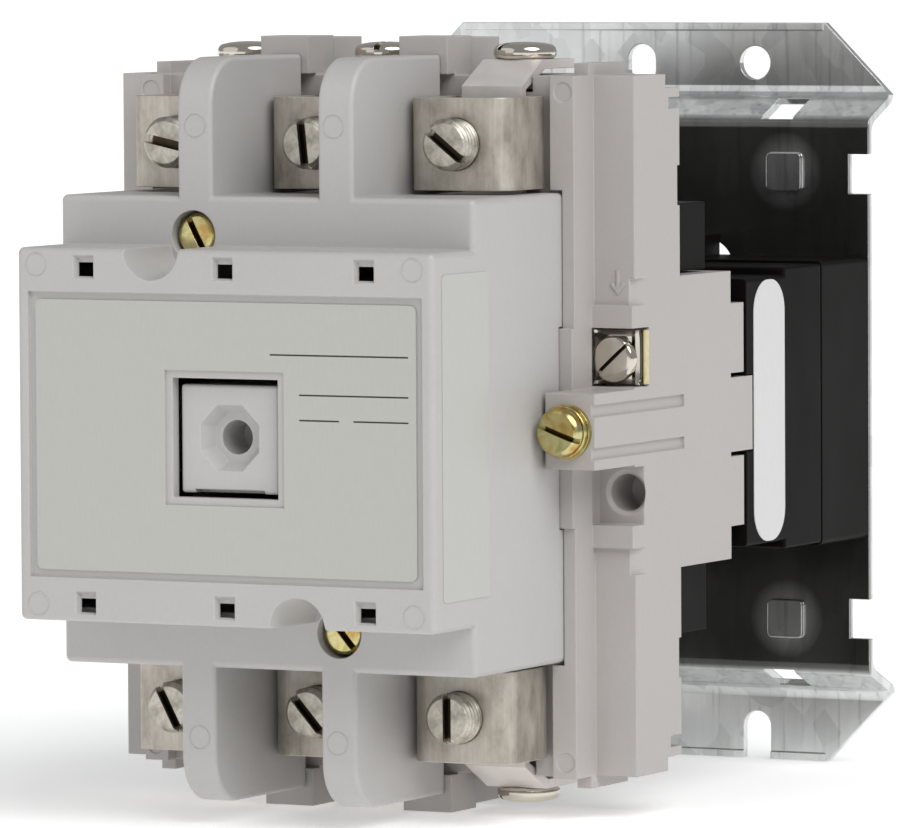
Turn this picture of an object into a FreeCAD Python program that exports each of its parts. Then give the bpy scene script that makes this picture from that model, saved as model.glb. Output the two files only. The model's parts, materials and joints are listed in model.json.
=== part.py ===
"""Three-pole magnetic motor starter on a hat-section mounting plate.

Frame: +X to the right, +Y towards the panel, +Z up, origin at the centre of the plane that
the plate's two mounting flanges share.  Every y below is therefore negative.
"""
import FreeCAD, Part
import math
import os
import re

doc = FreeCAD.newDocument("MotorStarter")
Vector = FreeCAD.Vector

# ---------------------------------------------------------------- driving dimensions
DIMENSIONS = {
    # mounting plate, folded from one strip of sheet
    "sheet": 1.9, "plate_half_width": 61.6, "plate_half_height": 83.0, "web_stand_off": 11.9,
    "flange_inner_z": 65.7, "web_outer_z": 60.5, "plate_corner": 16.0, "bend_radius": 3.0,
    "mount_hole_x": 28.3, "mount_hole_z": 74.0, "mount_hole_radius": 3.75, "slot_radius": 3.4,
    "pad_x": 41.3, "pad_z": 50.0, "pad_size": 8.4, "pad_height": 1.2,
    "notch_depth": 4.8, "notch_height": 8.8, "notch_z": 49.6,
    "web_hole_x": 22.0, "web_hole_z": 28.4, "web_hole_radius": 6.3,
    "mount_slot_z": -75.7, "top_slot_low_z": 72.2, "top_slot_high_z": 74.7,
    "plate_screw_x": 50.0, "plate_screw_z": 24.0,
    # three poles
    "pole_pitch": 33.3, "body_half_width": 61.5,
    # arc box: low front flange, taller box behind it, two barriers top and bottom
    "cover_half_width": 49.0, "cover_front_y": -199.0, "riser_y": -180.5, "cover_rear_y": -137.6,
    "waist_rear_y": -142.0, "waist_half_height": 21.3, "flange_half_height": 39.0,
    "box_half_height": 49.4, "cover_wall": 2.6, "recess_half_width": 46.4,
    "recess_half_height": 29.85, "recess_depth": 0.9, "window_half": 12.4, "window_bevel": 1.6,
    "vent_half": 2.2, "vent_x": 33.0, "vent_z": 35.1, "barrier_width": 8.2,
    "barrier_top_z": 78.3, "barrier_radius": 10.0, "barrier_rear_y": -141.0,
    "cover_screw_x": 17.0, "cover_screw_z": 41.2, "cover_screw_head": 4.7, "scallop_radius": 6.6,
    "scallop_wall": 1.8,
    # terminals
    "lug_width": 23.2, "lug_front_y": -158.0, "lug_depth": 20.6, "lug_wall": 3.0, "lug_z": 60.0,
    "lug_length": 19.4, "lug_corner": 4.0, "set_screw_radius": 5.45, "set_screw_face_y": -163.8,
    "set_screw_length": 13.6, "strap_width": 14.2, "strap_thickness": 2.0,
    "strap_front_y": -141.6, "strap_inner_z": 20.0, "strap_tab_z": 75.2, "strap_tab_end_y": -117.0,
    "tab_screw_y": -126.0, "tab_screw_head": 6.7, "tab_screw_shank": 2.4,
    # upper base moulding
    "base_front_y": -137.3, "platform_y": -139.5, "side_flange_y": -140.5, "channel_y": -131.3,
    "base_rear_y": -109.5, "base_half_height": 73.9, "neck_half_width": 52.0,
    "skirt_rear_y": -84.6, "skirt_half_height": 31.0, "base_wall": 2.8, "boss_front_y": -150.4,
    "boss_half_height": 8.0,
    "tower_top_z": 82.2, "tower_foot_z": 74.2, "captive_x": 55.0, "captive_radius": 2.4,
    "captive_head": 5.7, "terminal_x": 56.3, "terminal_z": 14.2,
    "side_hole_x": 57.3, "side_hole_radius": 4.0, "pocket_inner_x": 50.2, "pocket_inner_z": 8.4,
    "pocket_outer_z": 20.8, "pocket_floor_y": -124.4, "lip_outer_z": 25.6, "relief_floor_y": -126.2,
    "platform_half_width": 46.0, "platform_half_height": 46.4, "corner_flange_x": 46.4,
    "ejector_x": 49.4, "ejector_z": 70.5, "ejector_radius": 2.1,
    # coil, magnet and lower base
    "coil_front_y": -76.8, "coil_step_y": -57.5, "coil_rear_y": -39.0, "coil_half_height": 28.9,
    "lower_front_y": -38.2, "lower_half_height": 31.3, "core_half_width": 32.0,
    "core_half_height": 14.0, "core_leg": 12.0, "centre_leg_half": 8.0, "pole_face_y": -86.7,
    # moving system
    "travel": 7.0, "overtravel": 2.0, "plunger_face_y": -196.2, "plunger_half": 11.5, "plunger_top_z": 11.0,
    "stem_half_width": 12.0, "stem_half_height": 8.0, "beam_front_y": -172.0, "beam_rear_y": -158.5,
    "yoke_front_y": -110.2, "yoke_rear_y": -106.2, "armature_depth": 12.2,
    "bridge_half_length": 28.0, "bridge_half_width": 5.5, "bridge_thickness": 2.2,
    "tip_thickness": 1.6, "tip_radius": 4.0, "tip_z": 24.5, "spring_x": 44.0, "spring_wire": 0.55,
}

sheet = doc.addObject("Spreadsheet::Sheet", "Dims")
for row, (alias, value) in enumerate(DIMENSIONS.items(), start=1):
    sheet.set("A%d" % row, alias)
    sheet.set("B%d" % row, str(value))
    sheet.setAlias("B%d" % row, alias)
doc.recompute()

parts = {}


# ---------------------------------------------------------------- small modelling helpers
def size(expression):
    """The value, in millimetres, of an expression in the sheet's words."""
    return float(sheet.evalExpression(words(expression)))


def words(expression):
    """Point each plain word of an expression at the cell that has it as its alias."""
    return re.sub(r"[a-z][a-z_]+", lambda found: "Dims." + found.group(0), str(expression))


def bind(thing, **expressions):
    """Bind properties to the sheet; a double underscore stands for a dot."""
    for name, expression in expressions.items():
        thing.setExpression(name.replace("__", "."), words(expression))
    return thing


def block(name, low, high):
    """A box between two corners, each given as three expressions."""
    box = doc.addObject("Part::Box", name)
    spans = ["(%s) - (%s)" % (high[i], low[i]) for i in range(3)]
    bind(box, Length=spans[0], Width=spans[1], Height=spans[2])
    bind(box, Placement__Base__x=low[0], Placement__Base__y=low[1], Placement__Base__z=low[2])
    return box


TURNS = {
    "X": FreeCAD.Rotation(Vector(0, 1, 0), 90),
    "Y": FreeCAD.Rotation(Vector(1, 0, 0), -90),
    "Z": FreeCAD.Rotation(),
}


def rod(name, axis, start, length, radius, tip_radius=None):
    """A cylinder, or a cone where tip_radius is given, from start along the +axis."""
    if tip_radius is None:
        rod_object = doc.addObject("Part::Cylinder", name)
        bind(rod_object, Radius=radius, Height=length)
    else:
        rod_object = doc.addObject("Part::Cone", name)
        bind(rod_object, Radius1=radius, Radius2=tip_radius, Height=length)
    rod_object.Placement = FreeCAD.Placement(Vector(), TURNS[axis])
    bind(rod_object, Placement__Base__x=start[0], Placement__Base__y=start[1])
    bind(rod_object, Placement__Base__z=start[2])
    return rod_object


def join(name, pieces):
    """One solid from several that touch."""
    union = doc.addObject("Part::MultiFuse", name)
    union.Shapes = pieces
    union.Refine = True
    return union


def cut(name, base, tools):
    """base with every tool taken away."""
    result = doc.addObject("Part::Cut", name)
    result.Base = base
    result.Tool = tools[0] if len(tools) == 1 else join(name + "_tools", tools)
    result.Refine = True
    return result


def group(name, pieces):
    """Separate solids kept together as one compound."""
    compound = doc.addObject("Part::Compound", name)
    compound.Links = pieces
    return compound


def soften(name, base, radius, choose):
    """Round the edges of base that choose(edge) picks, with a radius in millimetres."""
    doc.recompute()
    picked = [i for i, edge in enumerate(base.Shape.Edges, start=1) if choose(edge)]
    fillet = doc.addObject("Part::Fillet", name)
    fillet.Base = base
    fillet.Edges = [(i, radius, radius) for i in picked]
    return fillet


def along(axis):
    """A test for straight edges that run along one axis."""
    return lambda edge: abs(abs(edge_direction(edge).dot(axis)) - 1) < 1e-6


def edge_direction(edge):
    return (edge.Vertexes[-1].Point - edge.Vertexes[0].Point).normalize()


def at_y(level):
    """A test for edges that lie wholly at one y."""
    return lambda edge: all(abs(v.Y - level) < 1e-4 for v in edge.Vertexes)


def either(*tests):
    return lambda edge: any(test(edge) for test in tests)


X_AXIS, Y_AXIS, Z_AXIS = Vector(1, 0, 0), Vector(0, 1, 0), Vector(0, 0, 1)


def free_shape(name, shape):
    """A sub-part whose outline needs Part's own functions."""
    feature = doc.addObject("Part::Feature", name)
    feature.Shape = shape
    return feature


def keep(node, thing):
    """Name the finished sub-part after the file that it goes into."""
    thing.Label = node
    parts[node] = thing
    return thing


def mirrored_x(low, high):
    """The box's two corners, mirrored across the YZ plane."""
    return ("-(%s)" % high[0], low[1], low[2]), ("-(%s)" % low[0], high[1], high[2])


def mirrored_z(low, high):
    return (low[0], low[1], "-(%s)" % high[2]), (high[0], high[1], "-(%s)" % low[2])


def both_sides(name, low, high):
    """A box and its mirror image on the left."""
    return [block(name + "_r", low, high), block(name + "_l", *mirrored_x(low, high))]


def top_and_bottom(name, low, high):
    """A box and its mirror image below."""
    return [block(name + "_t", low, high), block(name + "_b", *mirrored_z(low, high))]


def four_ways(name, low, high):
    """A box repeated left, right, top and bottom."""
    return both_sides(name + "_t", low, high) + both_sides(name + "_b", *mirrored_z(low, high))


POLES = {"left": "-pole_pitch", "middle": "0", "right": "pole_pitch"}
ENDS = {"line": 1, "load": -1}


# ---------------------------------------------------------------- mounting plate
def origin_plane(body, role):
    return [plane for plane in body.Origin.OriginFeatures if plane.Role == role][0]


def new_sketch(body, name, role):
    sketch = body.newObject("Sketcher::SketchObject", name)
    sketch.AttachmentSupport = [(origin_plane(body, role), "")]
    sketch.MapMode = "FlatFace"
    return sketch


def polygon(sketch, points):
    """Close a loop of straight lines through the points."""
    corners = [Vector(x, y, 0) for x, y in points]
    for start, end in zip(corners, corners[1:] + corners[:1]):
        sketch.addGeometry(Part.LineSegment(start, end), False)


def circle(sketch, x, y, radius):
    sketch.addGeometry(Part.Circle(Vector(x, y, 0), Z_AXIS, radius), False)


def through_pocket(body, sketch, name):
    pocket = body.newObject("PartDesign::Pocket", name)
    pocket.Profile = sketch
    pocket.Type = 1
    pocket.Midplane = True
    return pocket


def plate_screw_at(side, end, y):
    """Where one of the four screws through the web starts."""
    return "%d * plate_screw_x" % side, y, "%d * plate_screw_z" % end


def make_mounting_plate():
    """Hat section: a web held off the panel by two joggled mounting flanges."""
    body = doc.addObject("PartDesign::Body", "MountingPlate")
    thick, stand = size("sheet"), size("web_stand_off")
    high, inner, outer = size("plate_half_height"), size("flange_inner_z"), size("web_outer_z")
    profile = new_sketch(body, "HatProfile", "YZ_Plane")
    slope = math.atan2(stand, inner - outer)
    shift = thick * math.tan(slope / 2)
    front = [(-thick, high), (-thick, inner + shift), (-stand - thick, outer + shift)]
    rear = [(-stand, outer), (0, inner), (0, high)]
    half = front + [(y, -z) for y, z in reversed(front)]
    polygon(profile, half + [(y, -z) for y, z in reversed(rear)] + rear)
    pad = body.newObject("PartDesign::Pad", "HatPad")
    pad.Profile = profile
    pad.Midplane = True
    pad.setExpression("Length", words("2 * plate_half_width"))
    doc.recompute()

    def bend(edge):
        middle = edge.CenterOfMass
        return along(X_AXIS)(edge) and outer - 4 < abs(middle.z) < inner + 2

    bends = body.newObject("PartDesign::Fillet", "Bends")
    names = ["Edge%d" % i for i, edge in enumerate(pad.Shape.Edges, start=1) if bend(edge)]
    bends.Base = (pad, names)
    bends.setExpression("Radius", words("bend_radius"))
    doc.recompute()

    outline = new_sketch(body, "CornersAndHoles", "XZ_Plane")
    wide, corner = size("plate_half_width"), size("plate_corner")
    for side in (-1, 1):
        for end in (-1, 1):
            polygon(outline, [(side * (wide + 1), end * (high - corner - 1)),
                              (side * (wide + 1), end * (high + 1)),
                              (side * (wide - corner - 1), end * (high + 1))])
            notch_z, notch_half = end * size("notch_z"), size("notch_height / 2")
            deep = wide - size("notch_depth")
            polygon(outline, [(side * deep, notch_z - notch_half), (side * deep, notch_z + notch_half),
                              (side * (wide + 1), notch_z + notch_half),
                              (side * (wide + 1), notch_z - notch_half)])
        circle(outline, side * size("mount_hole_x"), size("mount_hole_z"), size("mount_hole_radius"))
        circle(outline, side * size("web_hole_x"), size("web_hole_z"), size("web_hole_radius"))
    through_pocket(body, outline, "CutOutline")
    doc.recompute()

    slots = [rod("u_slot_%d" % side, "Y", ("%d * mount_hole_x" % side, "-6", "mount_slot_z"), "12",
                 "slot_radius")
             for side in (-1, 1)]
    slots += both_sides("u_slot_mouth", ("mount_hole_x - slot_radius", "-6", "-90"),
                        ("mount_hole_x + slot_radius", "6", "mount_slot_z"))
    slots.append(rod("top_slot_end", "Y", ("0", "-6", "top_slot_high_z"), "12", "slot_radius"))
    slots.append(rod("top_slot_foot", "Y", ("0", "-6", "top_slot_low_z"), "12", "slot_radius"))
    slots.append(block("top_slot_mid", ("-slot_radius", "-6", "top_slot_low_z"),
                       ("slot_radius", "6", "top_slot_high_z")))
    slots += four_ways("joggle_window", ("35.2", "-20", "61.6"), ("42.8", "-2.4", "66.0"))
    slots += [rod("screw_hole_%d_%d" % (side, end), "Y", plate_screw_at(side, end, "-16"), "8", "2.6")
              for side in (-1, 1) for end in (-1, 1)]
    slots += four_ways("pad_pocket", ("pad_x - pad_size / 2 + 1", "-web_stand_off - pad_height",
                                      "pad_z - pad_size / 2 + 1"),
                       ("pad_x + pad_size / 2 - 1", "-web_stand_off + 1", "pad_z + pad_size / 2 - 1"))
    pads = []
    for i, low_high in enumerate(four_ways(
            "pad", ("pad_x - pad_size / 2", "-web_stand_off - sheet - pad_height", "pad_z - pad_size / 2"),
            ("pad_x + pad_size / 2", "-web_stand_off - sheet + 0.4", "pad_z + pad_size / 2"))):
        pads.append(soften("pad_round_%d" % i, low_high, 1.1, along(Y_AXIS)))
    lips = top_and_bottom("edge_lip", ("-45.2", "-sheet - 0.45", "plate_half_height - 1.7"),
                          ("45.2", "-sheet + 0.1", "plate_half_height"))
    whole = join("plate_with_pads", [body] + pads + lips)
    keep("mounting_plate", cut("plate_finished", whole, slots))


# ---------------------------------------------------------------- arc box and what it carries
def make_arc_box():
    """One moulding: a low front flange, a taller box behind it and four phase barriers."""
    front, riser, rear = size("cover_front_y"), size("riser_y"), size("cover_rear_y")
    flange = block("cover_flange", ("-cover_half_width", "cover_front_y", "-flange_half_height"),
                   ("cover_half_width", "riser_y + 3", "flange_half_height"))
    flange = soften("cover_flange_round", flange, 1.3, either(along(Y_AXIS), at_y(front)))
    box = block("cover_box", ("-cover_half_width", "riser_y", "-box_half_height"),
                ("cover_half_width", "cover_rear_y", "box_half_height"))
    box = soften("cover_box_round", box, 1.3, either(along(Y_AXIS), at_y(riser)))
    barriers = []
    for side in (-1, 1):
        for end in (-1, 1):
            inner, outer = sorted((40 * end, size("barrier_top_z") * end))
            name = "barrier_%d_%d" % (side, end)
            wall = block(name, ("%d * pole_pitch / 2 - barrier_width / 2" % side, "riser_y", inner),
                         ("%d * pole_pitch / 2 + barrier_width / 2" % side, "barrier_rear_y", outer))
            tip = size("barrier_top_z") * end
            wall = soften(name + "_nose", wall, size("barrier_radius"),
                          lambda edge: along(X_AXIS)(edge) and at_y(riser)(edge)
                          and abs(edge.Vertexes[0].Z - tip) < 1e-4)
            wall = soften(name + "_edges", wall, 0.9,
                          lambda edge: not along(X_AXIS)(edge) and edge.BoundBox.YMin < rear - 4.5
                          and edge.BoundBox.YLength + edge.BoundBox.ZLength > 1)
            barriers.append(wall)
    columns = [rod("column_%d" % end, "Y",
                   ("%d * cover_screw_x" % -end, "riser_y + 1", "%d * cover_screw_z" % end),
                   "platform_y - riser_y - 1", "6.4") for end in (-1, 1)]
    troughs = []
    for end in (-1, 1):
        low_z, high_z = sorted((size("flange_half_height - scallop_radius - scallop_wall") * end,
                                size("flange_half_height - 1") * end))
        centre_x = "%d * cover_screw_x" % -end
        troughs.append(block("trough_%d" % end,
                             (centre_x + " - scallop_radius - scallop_wall", "cover_front_y + 1", low_z),
                             (centre_x + " + scallop_radius + scallop_wall",
                              "riser_y + cover_wall + 0.1", high_z)))
    shell = cut("cover_shell", join("cover_outer", [flange, box] + barriers), [
        block("flange_hollow", ("-cover_half_width + cover_wall",
                                "cover_front_y + cover_wall + recess_depth",
                                "-flange_half_height + cover_wall"),
              ("cover_half_width - cover_wall", "riser_y + 4", "flange_half_height - cover_wall")),
        block("box_hollow", ("-cover_half_width + cover_wall", "riser_y + cover_wall",
                             "-box_half_height + cover_wall"),
              ("cover_half_width - cover_wall", "cover_rear_y + 1", "box_half_height - cover_wall"))])
    partitions = four_ways("partition", ("pole_pitch / 2 - 1.5", "riser_y + 1", "13"),
                           ("pole_pitch / 2 + 1.5", "platform_y - 0.3", "box_half_height - 1"))
    whole = join("cover_with_ribs", [shell] + partitions + columns + troughs)
    cuts = [block("plate_recess", ("-recess_half_width", "cover_front_y - 1", "-recess_half_height"),
                  ("recess_half_width", "cover_front_y + recess_depth", "recess_half_height")),
            block("plunger_window", ("-window_half", "cover_front_y - 1", "-window_half"),
                  ("window_half", "cover_front_y + 6", "window_half"))]
    cuts += both_sides("waist", ("cover_half_width - 8", "waist_rear_y", "-waist_half_height"),
                       ("cover_half_width + 1", "cover_rear_y + 1", "waist_half_height"))
    for pole, x in POLES.items():
        cuts += top_and_bottom("strap_slot_" + pole, (x + " - strap_width / 2 - 0.4",
                                                      "strap_front_y - 0.4", "46"),
                               (x + " + strap_width / 2 + 0.4", "cover_rear_y + 1", "51"))
    for end in (-1, 1):
        for column in (-1, 0, 1):
            name = "%d_%d" % (column, end)
            x, z = "%d * vent_x" % column, "%d * vent_z" % end
            cuts.append(block("vent_" + name, (x + " - vent_half + 0.5", "cover_front_y - 1", z + " - 2.0"),
                              (x + " + vent_half", "cover_front_y + 5", z + " + 0.8")))
            cuts.append(block("vent_relief_" + name, (x + " - vent_half - 2.2",
                                                      "cover_front_y + 1.4", z + " - 2.4"),
                              (x + " + vent_half + 0.2", "cover_front_y + 5", z + " + 0.9")))
            cuts.append(vent_bevel(column * size("vent_x"), end * size("vent_z")))
        x, z = "%d * cover_screw_x" % -end, "%d * cover_screw_z" % end
        cuts.append(rod("counterbore_%d" % end, "Y", (x, "riser_y - 1", z), "7.5",
                        "cover_screw_head + 0.5"))
        cuts.append(rod("shank_hole_%d" % end, "Y", (x, "riser_y", z), "45", "2.3"))
        cuts.append(rod("scallop_%d" % end, "Y", (x, "cover_front_y - 1", "%d * flange_half_height" % end),
                        "riser_y - cover_front_y + 1", "scallop_radius", "scallop_radius - 1.2"))
    keep("arc_box", cut("arc_box_finished", whole, cuts))


def vent_bevel(x, z):
    """The four-sided funnel round one small window in the flange."""
    y, half = size("cover_front_y"), size("vent_half")
    loops = []
    for level, reach in ((y - 0.01, half + 0.25), (y + 1.4, half - 0.55)):
        corners = [Vector(x + a * reach, level, z + b * reach)
                   for a, b in ((-1, -1), (1, -1), (1, 1), (-1, 1))]
        loops.append(Part.makePolygon(corners + corners[:1]))
    return free_shape("vent_bevel", Part.makeLoft(loops, True, True))


def make_nameplate():
    """Thin printed plate in the cover's recess, cut out round the plunger window."""
    y = "cover_front_y + recess_depth"
    plate = block("nameplate_blank", ("-recess_half_width + 1.6", y + " - 0.5",
                                      "-recess_half_height + 1.6"),
                  ("recess_half_width - 1.6", y, "recess_half_height - 1.6"))
    plate = soften("nameplate_round", plate, 1.4, along(Y_AXIS))
    edge = "window_half + window_bevel"
    hole = block("nameplate_window", ("-(%s)" % edge, "cover_front_y - 1", "-(%s)" % edge),
                 (edge, "cover_front_y + 3", edge))
    keep("nameplate", cut("nameplate_cut", plate, [hole]))


def make_side_label():
    x = "cover_half_width"
    label = block("side_label_blank", (x, "cover_front_y + 3.8", "-32.8"),
                  (x + " + 0.15", "cover_front_y + 24.6", "34.4"))
    keep("side_label", soften("side_label_round", label, 1.0, along(X_AXIS)))


def turned_slot(name, centre, axis, length, width, depth, angle):
    """A screwdriver slot turned by an angle about the screw's own axis."""
    half = depth if axis == "Y" else length / 2
    slot = Part.makeBox(length, half * 2, width, Vector(-length / 2, -half, -width / 2))
    if axis == "Z":
        slot = Part.makeBox(length, width, depth * 2, Vector(-length / 2, -width / 2, -depth))
    turn = FreeCAD.Rotation(Y_AXIS if axis == "Y" else Z_AXIS, angle)
    feature = free_shape(name, slot)
    feature.Placement = FreeCAD.Placement(Vector(*centre), turn)
    return feature


def make_cover_screws():
    """Slotted fillister screws that hold the arc box on the upper base."""
    for node, end, angle in (("arc_box_screw_top", 1, 62), ("arc_box_screw_bottom", -1, 50)):
        x, z = "%d * cover_screw_x" % -end, "%d * cover_screw_z" % end
        head = rod(node + "_head", "Y", (x, "riser_y + 1.2", z), "5.3", "cover_screw_head")
        head = soften(node + "_dome", head, 1.0, at_y(size("riser_y + 1.2")))
        shank = rod(node + "_shank", "Y", (x, "riser_y + 6", z), "46", "2.1")
        centre = (size(x), size("riser_y + 1.2"), size(z))
        slot = turned_slot(node + "_slot", centre, "Y", 12, 1.5, 1.9, angle)
        keep(node, cut(node + "_cut", join(node + "_blank", [head, shank]), [slot]))


# ---------------------------------------------------------------- terminals
def make_lugs():
    """Box lugs: a wire goes in along Z and the set screw clamps it to the strap."""
    for pole, x in POLES.items():
        for end_name, end in ENDS.items():
            name = "%s_lug_%s" % (end_name, pole)
            low_z, high_z = sorted((size("lug_z - lug_length / 2") * end,
                                    size("lug_z + lug_length / 2") * end))
            body = block(name + "_body", (x + " - lug_width / 2", "lug_front_y", low_z),
                         (x + " + lug_width / 2", "lug_front_y + lug_depth", high_z))
            body = soften(name + "_corners", body, size("lug_corner"), along(Z_AXIS))
            opening = block(name + "_opening",
                            (x + " - lug_width / 2 + lug_wall", "lug_front_y + lug_wall", low_z - 1),
                            (x + " + lug_width / 2 - lug_wall", "strap_front_y + strap_thickness",
                             high_z + 1))
            opening = soften(name + "_opening_round", opening, 1.5, lambda edge: along(Z_AXIS)(edge)
                             and at_y(size("lug_front_y + lug_wall"))(edge))
            screw_hole = rod(name + "_tapping", "Y", (x, "lug_front_y - 1", "%d * lug_z" % end), "6",
                             "set_screw_radius + 0.05")
            keep(name, cut(name + "_cut", body, [opening, screw_hole]))


SET_SCREW_ANGLES = {"line": (12, 84, 38), "load": (62, 48, 90)}


def make_set_screws():
    """Slotted set screws, as the installer would leave them after the wires are out."""
    for end_name, end in ENDS.items():
        for (pole, x), angle in zip(POLES.items(), SET_SCREW_ANGLES[end_name]):
            name = "%s_set_screw_%s" % (end_name, pole)
            stud = rod(name + "_stud", "Y", (x, "set_screw_face_y", "%d * lug_z" % end), "set_screw_length",
                       "set_screw_radius")
            stud = soften(name + "_chamfer", stud, 0.6, lambda edge: edge.Length > 20)
            slot = turned_slot(name + "_slot", (size(x), size("set_screw_face_y"), size("lug_z") * end),
                               "Y", 14, 1.9, 2.6, angle)
            keep(name, cut(name + "_cut", stud, [slot]))


def strap_outline():
    """Side view of a terminal strap, (y, z): flat on the base, then up a slope to a level tab."""
    y, thick = size("strap_front_y"), size("strap_thickness")
    tab = size("strap_tab_z")
    bend_z, tab_y = 71.8, y + 10.0
    end_y = size("strap_tab_end_y")
    return [(y, size("strap_inner_z")), (y + thick, size("strap_inner_z")), (y + thick, bend_z - 0.8),
            (tab_y + 0.9, tab), (end_y, tab), (end_y, tab + thick), (tab_y, tab + thick), (y, bend_z)]


def make_straps():
    """Terminal straps, each with a silver contact near its inner end."""
    for pole, x in POLES.items():
        for end_name, end in ENDS.items():
            name = "%s_strap_%s" % (end_name, pole)
            left = size(x + " - strap_width / 2")
            points = [Vector(left, y, z * end) for y, z in strap_outline()]
            face = Part.Face(Part.makePolygon(points + points[:1]))
            strap = free_shape(name + "_bar", face.extrude(Vector(size("strap_width"), 0, 0)))
            hole = rod(name + "_hole", "Z", (x, "tab_screw_y", 70 if end > 0 else -80), "10",
                       "tab_screw_shank + 0.05")
            keep(name, cut(name + "_cut", strap, [hole]))
    tips = [rod("tip_%s_%s" % (pole, end), "Y", (x, "strap_front_y - tip_thickness", "%d * tip_z" % end),
                "tip_thickness", "tip_radius") for pole, x in POLES.items() for end in (-1, 1)]
    keep("stationary_contacts", group("stationary_contact_group", tips))


TAB_SCREW_ANGLES = {"line": (20, 100, 60), "load": (75, 10, 130)}


def make_tab_screws():
    """Binding-head screws for control wires, upright on the strap tabs."""
    for end_name, end in ENDS.items():
        for (pole, x), angle in zip(POLES.items(), TAB_SCREW_ANGLES[end_name]):
            name = "%s_tab_screw_%s" % (end_name, pole)
            seat = size("strap_tab_z + strap_thickness") * end
            head_low, head_high = sorted((seat, seat + 3.6 * end))
            head = rod(name + "_head", "Z", (x, "tab_screw_y", head_low), head_high - head_low,
                       "tab_screw_head")
            head = soften(name + "_dome", head, 1.3,
                          lambda edge: abs(edge.BoundBox.ZMax - seat - 3.6 * end) < 1e-3 and edge.Length > 5)
            shank_low = seat - 8.5 if end > 0 else seat
            shank = rod(name + "_shank", "Z", (x, "tab_screw_y", shank_low), "8.5", "tab_screw_shank")
            slot = turned_slot(name + "_slot", (size(x), size("tab_screw_y"), seat + 3.6 * end), "Z",
                               16, 1.4, 1.7, angle)
            keep(name, cut(name + "_cut", join(name + "_blank", [head, shank]), [slot]))


# ---------------------------------------------------------------- upper base
def edge_chamfer(side, end):
    """The sloped cut in the channel's outer edge, between a pocket's lip and the skirt's height."""
    wide, front, floor = size("body_half_width"), size("channel_y"), size("relief_floor_y")
    low, high = size("lip_outer_z"), size("skirt_half_height + 0.2")
    outline = [(wide - 1.3, front - 0.1), (wide + 1, front - 0.1), (wide + 1, floor), (wide, floor)]
    corners = [Vector(side * x, y, end * low) for x, y in outline]
    face = Part.Face(Part.makePolygon(corners + corners[:1]))
    return free_shape("edge_chamfer", face.extrude(Vector(0, 0, end * (high - low))))


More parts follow.
